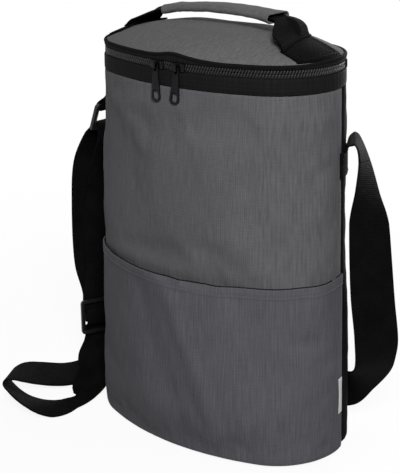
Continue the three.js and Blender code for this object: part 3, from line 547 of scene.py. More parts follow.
# zinc sliders under gloss black enamel: sharp highlights on rounded edges
sliderEnamel = plainSurface("black enamel on zinc", dict(
    dark="#050505", light="#0b0b0c", grain=3.0, smoothest=0.08, roughest=0.13, bump=0.05,
    specular=0.12))
# moulded acetal fittings: near black, with a soft waxy gloss
blackAcetal = plainSurface("black acetal, moulded", dict(
    dark="#0c0c0d", light="#171718", grain=2.2, smoothest=0.28, roughest=0.4, bump=0.15,
    specular=0.3))
# nylon coil teeth: a dark grey, partly the nylon's own and partly painted highlight for the light
# its rounds catch
coilNylonPaintedHighlight = plainSurface("black nylon, extruded, painted highlight", dict(
    dark="#1b1b1c", light="#383839", grain=1.5, smoothest=0.3, roughest=0.42, bump=0.1,
    specular=0.2))
# closed-cell foam, skived: matt white with fine open pores
whiteFoam = plainSurface("white polyethylene foam", dict(
    dark="#dcdcd8", light="#f0f0ed", grain=1.2, smoothest=0.8, roughest=0.95, bump=0.5,
    specular=0.3))
# recycled stiffening board: matt grey fibre
greyBoard = plainSurface("grey fibre board", dict(
    dark="#a5a39c", light="#c3c1ba", grain=2.5, smoothest=0.8, roughest=0.92, bump=0.4,
    specular=0.3))
print("materials made")

# the foams and the board keep the shape of their solids
for nodeName, surface in dict(base_board=greyBoard, base_foam=whiteFoam, front_foam=whiteFoam,
                              back_foam=whiteFoam, lid_foam=whiteFoam).items():
    nodes[nodeName].data.materials.clear()
    nodes[nodeName].data.materials.append(surface)


# Body

centre = (0, 0, 160)
outerCloth = 1.1  # thickness of the coated polyester
sewingGap = placeStep(0.12)  # from a panel's edge to the seam

pocket = dict(
    height=150, lift=0.35,
    room=6.4, foot=45,  # how far its middle stands off, reached at this height
    hem=8.0, hemExtra=0.5, stitchBelow=6.5, channel=0.35, seamDip=0.8,
    slack=1.2, foldDepth=2.6, sag=0.9,
    crowding=1.25,  # rows lie closer together near the hem
)
# how the settling sheets are cut and blown out; the hold is how far a seam calms the cloth
wallCloth = dict(
    columns=64, rows=56, extra=0.012, stiffness=40, bending=0.5, pressure=0.5, quality=5,
    frames=24, cap=3.0, inward=0.3, hold=16,
)
pocketCloth = dict(
    columns=60, rows=32, extra=0.015, stiffness=40, bending=0.5, pressure=0.4, quality=5,
    frames=24, cap=3.0, inward=0.6, hold=16,
)
# the wander's seed and reach, the sheet's grid, and how high the pocket covers the wall
frontWall = dict(seed=1.7, reach=1.0, columns=150, rows=120, coveredTo=pocket["height"])
backWall = dict(seed=5.1, reach=0.6, columns=110, rows=100, coveredTo=0)


def turnedIn(z):
    # the round at the bottom edge
    r = body["bottomRound"]
    above = z - body["wallBottom"]
    return r - math.sqrt(max(0, r * r - max(0, r - above) ** 2)) if above < r else 0.0


def rearSwell(place, z):
    # behind each side seam the lower corner of the back panel bulges
    behind = behindSeam(place)
    return (body["rearSwell"] * smooth(0.5, 9, behind) * smooth(40, 24, behind)
            * smooth(170, 110, z) * smooth(0, 8, z))


def wallInset(place, z, seed, reach):
    # soft wall: dipped at the two side seams, wandering between, more outwards than inwards
    fromSeam = abs(behindSeam(place))
    dip = body["seamDip"] * max(0, 1 - fromSeam / body["seamWidth"]) ** 2
    calm = smooth(0, 14, fromSeam) * smooth(0, 30, z) * smooth(0, 26, body["bandBottom"] - z)
    soft = body["wrinkle"] * reach * calm * (wander(lengthTo(place), z, seed) + 0.35)
    return turnedIn(z) + dip - max(soft, 0.35 * soft - 0.2) - rearSwell(place, z)


def heldBySeams(width, height, hold, openTop=False):
    # 1 on the seams, falling to 0 over the hold's width
    def share(u, v):
        sides = min(u, 1 - u) * width
        ends = v * height if openTop else min(v, 1 - v) * height
        return smooth(hold, 0, min(sides, ends))
    return share


def panel(name, fromPlace, toPlace, wall, material):
    bottom, top = body["wallBottom"], body["bandBottom"] - 0.1
    length = panelLength(fromPlace, toPlace)
    bySeams = heldBySeams(length, top - bottom, wallCloth["hold"])

    def covered(z):
        # what the pocket covers stays smooth
        return smooth(wall["coveredTo"] + 8, wall["coveredTo"] - 22, z) if wall["coveredTo"] else 0

    def shape(u, v):
        place = fromPlace + u * (toPlace - fromPlace)
        z = bottom + v * (top - bottom)
        inset = wallInset(place, z, wall["seed"], wall["reach"] * (1 - covered(z)))
        return outlinePoint(place, z, inset), (lengthTo(fromPlace) + u * length, z)

    def held(u, v):
        return max(bySeams(u, v), covered(bottom + v * (top - bottom)))
    return sheetPiece(name, wall["columns"], wall["rows"], settled(shape, wallCloth, held, centre),
                      outerCloth, material, inside=centre)


frontPanel = panel("front_panel_cloth", -seamPlace + sewingGap, seamPlace - sewingGap, frontWall,
                   greyPolyester)
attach(frontPanel, "bag_body")
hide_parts("front_panel")
backPanel = panel("back_panel_cloth", seamPlace + sewingGap, 6 - seamPlace - sewingGap, backWall,
                  blackPolyester)
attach(backPanel, "bag_body")
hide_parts("back_panel")

base = dict(inset=1.5, round=1.4)


def baseShape(u, share):
    edge = outlinePoint(-3 + 6 * u, 0, base["inset"])
    lift = base["round"] * smooth(0.965, 1.0, share) ** 2
    point = Vector((edge.x * share, edge.y * share, lift))
    return point, (point.x, point.y)


basePanel = sheetPiece("base_panel_cloth", 120, 30, baseShape, outerCloth, blackPolyester,
                       inside=(0, 0, 40), closed=True)
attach(basePanel, "bag_body")
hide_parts("base_panel")


# the pocket is one sheet over the lower half of the front, hemmed at the top

def pocketStandoff(place, z):
    across = math.cos(math.pi / 2 * place / seamPlace) ** 2
    return pocket["lift"] + pocket["room"] * across * smooth(0, pocket["foot"], z)


def underStrap(place, z):
    # 1 where the strap lies close to the pocket's left side, which stays flat there
    fromLeftSeam = lengthTo(seamPlace) + lengthTo(place)
    return smooth(64, 46, fromLeftSeam) * smooth(100, 78, z)


def pocketFold(x, below):
    # slanting drag lines that run down from the middle of the hem to the lower right
    line = (x - 4) - below * 0.34
    first = math.exp(-(line / 9) ** 2)
    second = math.exp(-((line + 34) / 12) ** 2)
    return (first - 0.8 * second) * smooth(8, 60, pocket["height"] - below) * smooth(0, 20, below)


def pocketInset(place, z):
    fromSeam = abs(behindSeam(place))
    below = pocket["height"] - z
    calm = smooth(0, 16, fromSeam) * smooth(0, 30, z)
    dip = pocket["seamDip"] * max(0, 1 - fromSeam / body["seamWidth"]) ** 2
    x = lengthTo(place)
    hem = pocket["hemExtra"] * smooth(pocket["hem"] + 0.6, pocket["hem"], below)
    channel = stitchChannel(below - pocket["stitchBelow"], pocket["channel"], 0.8)
    soft = pocket["slack"] * wander(x, z, 9.3, 40, 70) + pocket["foldDepth"] * pocketFold(x, below)
    soft *= calm * (1 - underStrap(place, z))
    return turnedIn(z) + dip - pocketStandoff(place, z) - outerCloth - hem + channel - soft


def pocketPlace(u):
    return (-1 + 2 * u) * (seamPlace - sewingGap)


def pocketShape(u, v):
    place = pocketPlace(u)
    bottom, top = body["wallBottom"], pocket["height"]
    z = bottom + (1 - (1 - v) ** pocket["crowding"]) * (top - bottom)
    point = outlinePoint(place, z, pocketInset(place, z))
    point.z -= pocket["sag"] * math.cos(math.pi / 2 * place / seamPlace) ** 2 * v ** 8
    return point, (lengthTo(place), z)


pocketBySeams = heldBySeams(2 * lengthTo(seamPlace), pocket["height"], pocketCloth["hold"],
                            openTop=True)


def pocketHeld(u, v):
    return max(pocketBySeams(u, v), underStrap(pocketPlace(u), v * pocket["height"]))


pocketSettled = settled(pocketShape, pocketCloth, pocketHeld, centre)
frontPocket = sheetPiece("front_pocket_cloth", 170, 110, pocketSettled, outerCloth,
                         pocketPolyesterPaintedShade, inside=centre, rim=0.45)
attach(frontPocket, "bag_body")
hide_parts("front_pocket")


def lineRound(z, insetAt):
    # (point, outward) once round the body at a height
    line = []
    for i in range(161):
        place = -3 + 6 * i / 160
        on = outlinePoint(place, z, insetAt(place, z))
        line.append((on, on - outlinePoint(place, z, insetAt(place, z) + 1)))
    return line


def lineAcross(shape, v):
    # (point, outward) along a sheet at v
    line = []
    for i in range(161):
        u = 0.004 + 0.992 * i / 160
        across = shape(u + 0.002, v)[0] - shape(u - 0.002, v)[0]
        up = shape(u, v + 0.002)[0] - shape(u, v - 0.002)[0]
        line.append((shape(u, v)[0], across.cross(up).normalized()))
    return line


# sizes of the black tape behind the hem, which is painted shade for the pocket's mouth
facing = dict(start=0.8, shows=0.55, behind=1.35, thickness=0.5)


def hemShadeShape(u, v):
    # painted shade: a black tape set behind the hem, which shows above it as a thin dark line
    # where the pocket's mouth is in shadow
    point, place = pocketSettled(u, facing["start"] + (1 - facing["start"]) * v)
    inward = Vector((-point.x, -point.y * 1.6, 0)).normalized()
    return point + inward * facing["behind"] + Vector((0, 0, facing["shows"] * v ** 4)), place


hemShadeTape = sheetPiece("pocket_hem_shade_tape", 120, 8, hemShadeShape, facing["thickness"], ribbedTape,
                       inside=centre, rim=0.15)
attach(hemShadeTape, "bag_body")

hemSewing = dict(length=2.3, pitch=3.1, thread=0.42)
stitchShare = 1 - pocket["stitchBelow"] / (pocket["height"] - body["wallBottom"])
hemLine = lineAcross(pocketSettled, 1 - (1 - stitchShare) ** (1 / pocket["crowding"]))
hemStitch = stitches("pocket_hem_stitches", [hemLine], hemSewing, greyThread)
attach(hemStitch, "bag_body")

# blank label sewn into the side seam, with its free edge curled
label = dict(bottom=35.0, height=30.0, fromY=10.5, toY=16.2, lift=2.0, curl=0.7, width=6,
             thickness=0.35)


def labelShape(u, v):
    first, last = placeAtY(label["fromY"]), placeAtY(label["toY"])
    place = first + u * (last - first)
    z = label["bottom"] + v * label["height"]
    curl = label["curl"] * (1 - u) ** 2 * (0.4 + 0.6 * math.sin(math.pi * v))
    point = outlinePoint(place, z, -pocketStandoff(place, z) - label["lift"] - curl)
    return point, (u * label["width"], z)


sideLabel = sheetPiece("side_label_cloth", 10, 24, labelShape, label["thickness"], satinLabel,
                       inside=centre, rim=0.1)
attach(sideLabel, "bag_body")
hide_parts("side_label")

# edge band round the top of the body, a ribbed tape with a stitch line near its lower edge
band = dict(proud=0.5, thickness=1.2, stitchAbove=1.8, channel=0.3, roll=0.5, uneven=0.25)
bandSewing = dict(length=2.3, pitch=3.1, thread=0.4)


def bandInset(place, z):
    above = z - body["bandBottom"]
    share = above / (body["bandTop"] - body["bandBottom"])
    roll = band["roll"] * (smooth(0.86, 1.0, share) ** 2 + smooth(0.1, 0.0, share) ** 2)
    channel = stitchChannel(above - band["stitchAbove"], band["channel"], 0.6)
    uneven = band["uneven"] * wander(lengthTo(place), z, 2.2, 30, 60)
    return roll + channel - band["proud"] * smooth(0, 0.1, share) - uneven


edgeBand = sheetPiece("edge_band_tape", 260, 16,
                      strip(-3, 3, body["bandBottom"], body["bandTop"], bandInset),
                      band["thickness"], ribbedTape, inside=(0, 0, 302),
                      closed=True, rim=0.3)
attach(edgeBand, "bag_body")
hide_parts("edge_band")
bandLine = lineRound(body["bandBottom"] + band["stitchAbove"], bandInset)
bandStitch = stitches("edge_band_stitches", [bandLine], bandSewing, blackThread)
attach(bandStitch, "bag_body")
print("body made")


# Inside

inner = dict(foamInset=1.5, wall=4.0, gap=0.3, lining=0.6, floor=8.1, top=306.0,
             film=0.4, floorCrease=0.3, wallCrease=0.45)
linerInset = inner["foamInset"] + inner["wall"] + inner["gap"]
linerFloorShare = 0.2  # of the sheet's rows; the rest is the wall


def linerShape(u, v):
    place = -3 + 6 * u
    bottom = inner["floor"]
    if v < linerFloorShare:
        # from the middle of the floor out
        share = v / linerFloorShare
        edge = outlinePoint(place, bottom, linerInset + 1)
        crease = noise.noise(Vector((edge.x * share / 18, edge.y * share / 18, 3)))
        z = bottom + inner["lining"] + abs(inner["floorCrease"] * crease)
        return Vector((edge.x * share, edge.y * share, z)), (edge.x * share, edge.y * share)
    share = (v - linerFloorShare) / (1 - linerFloorShare)
    z = bottom + 0.9 + share * (inner["top"] - bottom - 0.9)
    crease = inner["wallCrease"] * (1 + wander(lengthTo(place), z, 8.8, 14, 30))
    crease *= smooth(0, 0.1, share) * smooth(1, 0.9, share)
    return outlinePoint(place, z, linerInset + 0.2 + crease), (lengthTo(place), z)


liner = sheetPiece("liner_film", 160, 90, linerShape, inner["film"], silverFilm,
                   inside=(0, 0, 150), offset=1.0, rim=0, closed=True)
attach(liner, "bag_body")
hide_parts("liner")

# tape folded over the wall's upper edge
binding = dict(bottom=298.5, top=306.0, inset=2.5, round=0.5, thickness=2.6)


def bindingInset(place, z):
    share = (z - binding["bottom"]) / (binding["top"] - binding["bottom"])
    return binding["inset"] + binding["round"] * (2 * share - 1) ** 2


linerBinding = sheetPiece("liner_binding_tape", 200, 10,
                          strip(-3, 3, binding["bottom"], binding["top"], bindingInset),
                          binding["thickness"], ribbedTape,
                          inside=(0, 0, 302), closed=True, rim=0.8)
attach(linerBinding, "bag_body")
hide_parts("liner_binding")

# divider: a thin foam board in silver film, sewn at its two edges
board = dict(thickness=2.6, round=1.0, bow=0.4, gap=0.3, clothWidth=100, clothHeight=220)
low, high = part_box("divider")
bm = bmesh.new()
bmesh.ops.create_grid(bm, x_segments=24, y_segments=60, size=0.5)
dividerUv = bm.loops.layers.uv.new("cloth")
for face in bm.faces:
    for loop in face.loops:
        u, v = loop.vert.co.x, loop.vert.co.y
        loop[dividerUv].uv = (u * board["clothWidth"] * mm, v * board["clothHeight"] * mm)
for vertex in bm.verts:
    across, up = vertex.co.x, vertex.co.y + 0.5
    z = low.z + up * (high.z - low.z)
    reach = outlineAt(z / mm).halfDepth - (linerInset + inner["lining"] + board["gap"])
    bow = board["bow"] * noise.noise(Vector((across * 5, up * 9, 1)))
    vertex.co = Vector((bow * mm, across * 2 * reach * mm, z))
divider = objectFrom(bm, "divider_board")
thick = divider.modifiers.new("thickness", "SOLIDIFY")
thick.thickness = board["thickness"] * mm
thick.offset = 0
softEdge(divider, board["round"], 3)
finishPiece(divider, silverFilm)
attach(divider, "bag_body")
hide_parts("divider")
print("inside made")


# Zipper

zipper = dict(
    middle=311.7, lowerTape=(298.2, 311.3), upperTape=(312.2, 317.6), tapeInset=1.5,
    tapeThickness=0.6, toothPitch=2.4, toothLength=3.3, toothWidth=0.95, toothDepth=1.3,
    toothRound=0.22, overlap=0.35, lean=26, inset=0.25,
)


def tapeInset(place, z):
    return zipper["tapeInset"]


for name, nodeName, (bottom, top), rides in (
        ("zipper_tape_lower_cloth", "zipper_tape_lower", zipper["lowerTape"], "bag_body"),
        ("zipper_tape_upper_cloth", "zipper_tape_upper", zipper["upperTape"], "lid")):
    tape = sheetPiece(name, 200, 6, strip(-zipperPlace, zipperPlace, bottom, top, tapeInset),
                      zipper["tapeThickness"], zipperTape, inside=(0, 0, 305),
                      rim=0.15)
    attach(tape, rides)
    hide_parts(nodeName)


def coil(name, side):
    # a row of leaning teeth; the two rows are half a pitch apart and reach past the middle
    fine = 1200
    places = [-zipperPlace + 2 * zipperPlace * i / fine for i in range(fine + 1)]
    track = [outlinePoint(place, zipper["middle"]) for place in places]
    reached = [0.0]
    for a, b in zip(track, track[1:]):
        reached.append(reached[-1] + (b - a).length)
    count = int(panelLength(-zipperPlace, zipperPlace) / zipper["toothPitch"])
    size = Matrix.Diagonal((zipper["toothWidth"] * mm, zipper["toothDepth"] * mm,
                            zipper["toothLength"] * mm, 1))
    leaning = Matrix.Rotation(math.radians(-zipper["lean"]), 4, "Y")
    z = zipper["middle"] + side * (zipper["toothLength"] / 2 - zipper["overlap"])
    up = Vector((0, 0, 1))
    bm = bmesh.new()
    k = 0
    for tooth in range(count):
        want = (tooth + (0.25 if side > 0 else 0.75)) * reached[-1] / count
        while k < fine - 1 and reached[k + 1] < want:
            k += 1
        between = (want - reached[k]) / (reached[k + 1] - reached[k])
        place = -zipperPlace + 2 * zipperPlace * (k + between) / fine
        on = outlinePoint(place, z, zipper["inset"] + zipper["toothDepth"] / 2)
        out = (outlinePoint(place, z, 0) - outlinePoint(place, z, 1)).normalized()
        along = out.cross(up).normalized()
        turn = Matrix((along, -out, up)).transposed().to_4x4()
        spot = Matrix.Translation(on * mm)
        bmesh.ops.create_cube(bm, size=1, matrix=spot @ turn @ leaning @ size)
    bmesh.ops.bevel(bm, geom=bm.edges[:], affect="EDGES", offset=zipper["toothRound"] * mm,
                    segments=1, profile=0.5, material=-1)
    return finishPiece(objectFrom(bm, name), coilNylonPaintedHighlight, 60)


lowerCoil = coil("zipper_teeth_lower", -1)
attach(lowerCoil, "bag_body")
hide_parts("zipper_coil_lower")
upperCoil = coil("zipper_teeth_upper", 1)
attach(upperCoil, "lid")
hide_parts("zipper_coil_upper")

# sewn stops at both ends of the zipper
zipperEnd = dict(gap=0.3, length=7, bottom=308.8, top=314.6, proud=0.9, thickness=1.9)
endStart = zipperPlace + placeStep(zipperEnd["gap"])
endStop = endStart + placeStep(zipperEnd["length"])


def endInset(place, z):
    share = (abs(place) - endStart) / (endStop - endStart)
    return -zipperEnd["proud"] + zipperEnd["proud"] * (2 * share - 1) ** 4


for side, word in ((1, "right"), (-1, "left")):
    endShape = strip(side * endStart, side * endStop, zipperEnd["bottom"], zipperEnd["top"],
                     endInset)
    end = sheetPiece(f"zipper_end_{word}_cloth", 10, 10, endShape, zipperEnd["thickness"],
                     ribbedTape, inside=(0, 0, 311), rim=0.5)
    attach(end, "bag_body")
    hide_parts(f"zipper_end_{word}")

# the lid's hinge is a strip of cloth, creased along its middle
hingeStrip = dict(bottom=308.4, top=315.0, proud=0.2, crease=0.5)
hingeStart = endStop + placeStep(zipperEnd["gap"])


def hingeInset(place, z):
    turn = math.pi * (z - zipper["middle"]) / (hingeStrip["top"] - hingeStrip["bottom"])
    return -hingeStrip["proud"] + hingeStrip["crease"] * math.cos(turn) ** 2


hingeShape = strip(hingeStart, 6 - hingeStart, hingeStrip["bottom"], hingeStrip["top"], hingeInset)
hinge = sheetPiece("lid_hinge_cloth", 120, 8, hingeShape, outerCloth, blackPolyester,
                   inside=(0, 0, 311), rim=0.2)
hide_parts("lid_hinge_strip")
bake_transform(hinge)

# how much the pull's ring end is wider than the solid's
pullEnd = dict(spread=0.3, holeWider=1.25, holeLonger=1.15)


def middleNear(vertices, z):
    # mean X of the vertices within 3 mm of a height
    near = [v.co.x for v in vertices if abs(v.co.z - z) < 3 * mm]
    return sum(near) / max(1, len(near))


def widenRing(vertices):
    # a pull hangs a little askew, so its axis runs between the middles of its two ends
    top = max(v.co.z for v in vertices)
    bottom = min(v.co.z for v in vertices)
    topX, bottomX = middleNear(vertices, top), middleNear(vertices, bottom)

    def axisAt(z):
        return topX + (bottomX - topX) * (top - z) / (top - bottom)

    hole = [v for v in vertices if bottom + mm < v.co.z < (top + bottom) / 2
            and abs(v.co.x - axisAt(v.co.z)) < 1.9 * mm]
    holeZ = (min(v.co.z for v in hole) + max(v.co.z for v in hole)) / 2
    for v in hole:
        v.co.x = axisAt(v.co.z) + (v.co.x - axisAt(v.co.z)) * pullEnd["holeWider"]
        v.co.z = holeZ + (v.co.z - holeZ) * pullEnd["holeLonger"]
    for v in vertices:
        spread = 1 + pullEnd["spread"] * smooth(0.55, 0.8, (top - v.co.z) / (top - bottom))
        v.co.x = axisAt(v.co.z) + (v.co.x - axisAt(v.co.z)) * spread


for word in ("left", "right"):
    slider = roundedCopy(f"slider_{word}_body", f"slider_{word}", 0.45, 3, sliderEnamel)
    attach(slider, f"slider_{word}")
    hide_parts(f"slider_{word}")
    pull = roundedCopy(f"pull_{word}_plate", f"pull_{word}", 0.32, 3, sliderEnamel)
    widenRing(pull.data.vertices)
    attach(pull, f"pull_{word}")
    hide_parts(f"pull_{word}")
print("zipper made")


# Lid

lid = dict(
    rise=18.0, flatter=0.5,  # the cloth rises this much less than the dome
    edgeInset=0.4, edgeAbove=0.3, soft=0.63, softFine=0.225,
    crowding=1.35,  # rows lie closer together near the rim
    humpHeight=2.6, humpWidth=13.0, humpX=4.0, frontDrop=1.5,
)


def rimHump(point):
    # the lid's edge lifts a little over the two sliders
    if point.y > -30:
        return 0.0
    return lid["humpHeight"] * math.exp(-((point.x - lid["humpX"]) / lid["humpWidth"]) ** 2)


def rimDrop(point):
    # and lies a little lower to their right
    return -lid["frontDrop"] * smooth(14, 50, point.x) * smooth(0, -25, point.y)


def domePoint(place, share, inset, z, rise):
    edge = outlinePoint(place, body["rimHeight"], inset)
    return Vector((edge.x * share, edge.y * share, z + rise * (1 - share ** 3)))


def lidShape(u, v):
    share = 1 - (1 - v) ** lid["crowding"]
    point = domePoint(-3 + 6 * u, share, lid["edgeInset"], body["rimHeight"] + lid["edgeAbove"],
                      lid["rise"] - lid["flatter"])
    soft = lid["soft"] * noise.noise(Vector((point.x / 42, point.y / 30, 4.4)))
    soft += lid["softFine"] * noise.noise(Vector((point.x / 17, point.y / 14, 6.1)))
    point.z += soft * smooth(1.0, 0.8, share) + rimHump(point) * smooth(0.82, 1.0, share)
    point.z += rimDrop(point) * smooth(0.955, 1.0, share)
    return point, (point.x, point.y)


lidPanel = sheetPiece("lid_panel_cloth", 180, 56, lidShape, outerCloth, lidPolyester,
                      inside=(0, 0, 300), closed=True, rim=0)
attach(lidPanel, "lid")
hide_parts("lid_panel")


# tape round the lid's edge, above the zipper
lidTape = dict(bottom=315.0, height=3.3, bulge=0.35, thickness=1.1)


def lidBandShape(u, v):
    z = lidTape["bottom"] + v * lidTape["height"]
    inset = -lidTape["bulge"] + lidTape["bulge"] * (2 * v - 1) ** 2
    point = outlinePoint(-3 + 6 * u, z, inset)
    point.z += (rimHump(point) + rimDrop(point)) * v
    return point, (u * loopLength, z)


lidBand = sheetPiece("lid_band_tape", 260, 6, lidBandShape, lidTape["thickness"], ribbedTape,
                     inside=(0, 0, 316), closed=True, rim=0.25)
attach(lidBand, "lid")
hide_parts("lid_band")


# cloth rolled into a cord round the rim, where the lid's panel meets its band
piped = dict(radius=1.6, inset=0.8, middle=318.2)


def pipingShape(u, v):
    turn = 2 * math.pi * v
    r = piped["radius"]
    point = outlinePoint(-3 + 6 * u, piped["middle"] + r * math.sin(turn),
                         piped["inset"] - r * math.cos(turn))
    point.z += rimHump(point) + rimDrop(point)
    return point, (u * loopLength, v * 2 * math.pi * r)


piping = sheetPiece("lid_piping", 260, 12, pipingShape, 0, blackPolyester,
                    closed=True, rim=0)
bm = bmesh.new()
bm.from_mesh(piping.data)
bmesh.ops.recalc_face_normals(bm, faces=bm.faces)
bm.to_mesh(piping.data)
bm.free()
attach(piping, "lid")


# film under the lid, and the tape over its edge
lining = dict(inset=4.9, bottom=312.9, rise=16.5, crease=0.25, film=0.4)
lidInside = dict(bottom=314.6, top=317.7, inset=3.9, thickness=0.6)


def underShape(u, v):
    point = domePoint(-3 + 6 * u, v, lining["inset"], lining["bottom"], lining["rise"])
    crease = lining["crease"] * noise.noise(Vector((point.x / 16, point.y / 12, 2.0)))
    point.z += crease * smooth(1.0, 0.85, v)
    return point, (point.x, point.y)


lidLining = sheetPiece("lid_lining_film", 140, 30, underShape, lining["film"], silverFilm,
                       inside=(0, 0, 300), offset=1.0, closed=True, rim=0)
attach(lidLining, "lid")
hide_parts("lid_lining")


def lidBindingInset(place, z):
    return lidInside["inset"]


lidBinding = sheetPiece("lid_binding_tape", 200, 6,
                        strip(-3, 3, lidInside["bottom"], lidInside["top"], lidBindingInset),
                        lidInside["thickness"], ribbedTape,
                        inside=(0, 0, 316), closed=True, rim=0.2)
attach(lidBinding, "lid")
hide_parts("lid_binding")
print("lid made")


# Webbing

strap = dict(width=38, thickness=1.5, baseWidth=224.7, baseDepth=124.12, anchorHeight=247)


def routePoint(points, t):
    # a smooth curve through points, at t counted in points; its tangents weigh the distances
    last = len(points) - 1
    k = min(int(t), last - 1)
    w = t - k
    p1, p2 = points[k], points[k + 1]
    p0 = points[k - 1] if k > 0 else p1 * 2 - p2
    p3 = points[k + 2] if k + 2 <= last else p2 * 2 - p1
    d1 = (p2 - p1).length ** 0.5
    d1 = d1 if d1 > 1e-4 else 1.0
    d0 = (p1 - p0).length ** 0.5
    d0 = d0 if d0 > 1e-4 else d1
    d2 = (p3 - p2).length ** 0.5
    d2 = d2 if d2 > 1e-4 else d1
    leave = ((p1 - p0) / d0 - (p2 - p0) / (d0 + d1) + (p2 - p1) / d1) * d1
    arrive = ((p2 - p1) / d1 - (p3 - p1) / (d1 + d2) + (p3 - p2) / d2) * d1
    return (p1 + leave * w + (-3 * p1 + 3 * p2 - 2 * leave - arrive) * w ** 2
            + (2 * p1 - 2 * p2 + leave + arrive) * w ** 3)


def ribbon(name, stations, fromT, toT, steps, columns, thickness):
    # webbing through stations of (middle, direction across, width), in mm
    middles = [Vector(s[0]) for s in stations]
    acrosses = [Vector(s[1]) for s in stations]
    widths = [s[2] for s in stations]
    rows, travelled, lastMiddle = [], 0.0, None
    for i in range(steps + 1):
        t = fromT + (toT - fromT) * i / steps
        middle = routePoint(middles, t)
        across = routePoint(acrosses, t).normalized()
        k = min(int(t), len(stations) - 2)
        width = widths[k] + (t - k) * (widths[k + 1] - widths[k])
        if lastMiddle is not None:
            travelled += (middle - lastMiddle).length
        lastMiddle = middle
        rows.append((middle, across, width, travelled))

    def shape(u, v):
        middle, across, width, along = rows[min(steps, round(v * steps))]
        return middle + across * (u - 0.5) * width, ((u - 0.5) * strap["width"], along)
    return sheetPiece(name, columns, steps, shape, thickness, blackWebbing,
                      offset=0.0, rim=0.45, angle=50)


# the base's sides and back, and the heights of webbing that lies flat or stands on edge
right, left, back = strap["baseWidth"] / 2, -strap["baseWidth"] / 2, strap["baseDepth"] / 2
floorZ = 0.6 + strap["thickness"] / 2
onEdge = floorZ + strap["width"] / 2


def cornerAt(z, lift):
    # on the body's rear right corner, 30 degrees from its side
    d = outlineAt(z)
    r = d.corner + lift
    return (d.cornerX + r * math.cos(math.pi / 6), d.cornerY + r * math.sin(math.pi / 6), z)


# the strap's three-bar slide: its middle, the direction of its bars and their sizes
adjuster = dict(at=(-125.15, -6.4, 66), across=Vector((0.4, 0.917, 0)).normalized(), height=32,
                thickness=2.4, endBar=3.4, middleBar=4.4, clearance=0.4)
slideAcross = tuple(adjuster["across"])
outward = adjuster["across"].cross(Vector((0, 0, 1)))


def fromAdjuster(up, out):
    return tuple(Vector(adjuster["at"]) + Vector((0, 0, up)) + outward * out)


endBarMiddle = (adjuster["height"] - adjuster["endBar"]) / 2
behindBar = -(adjuster["thickness"] / 2 + adjuster["clearance"] + strap["thickness"] / 2)
slotMiddle = (endBarMiddle - adjuster["endBar"] / 2 + adjuster["middleBar"] / 2) / 2
rearLayer = behindBar - strap["thickness"] - 1.5 * adjuster["clearance"]
loopFront = -behindBar
overLoop = loopFront + strap["thickness"] + adjuster["clearance"]
hookHalf = adjuster["middleBar"] / 2 + adjuster["clearance"] + strap["thickness"] / 2
ring = dict(y=6, bar=4.2, thickness=3.4, top=(117, 257), bottom=(124, 238))
ringBend = math.hypot(ring["bar"], ring["thickness"]) / 2
ringBend += 1.5 * adjuster["clearance"] + strap["thickness"] / 2
ringX, ringZ = ring["bottom"]
sewnLift = 0.3 + strap["thickness"] / 2
sewnAcross = (-0.5, 0.866, 0)
anchorZ = strap["anchorHeight"]


def roundRing(degrees):
    # a point of the webbing that bends round the ring's lower bar
    a = math.radians(degrees)
    return ringBend * math.cos(a) - ringX, ring["y"], ringZ + ringBend * math.sin(a)


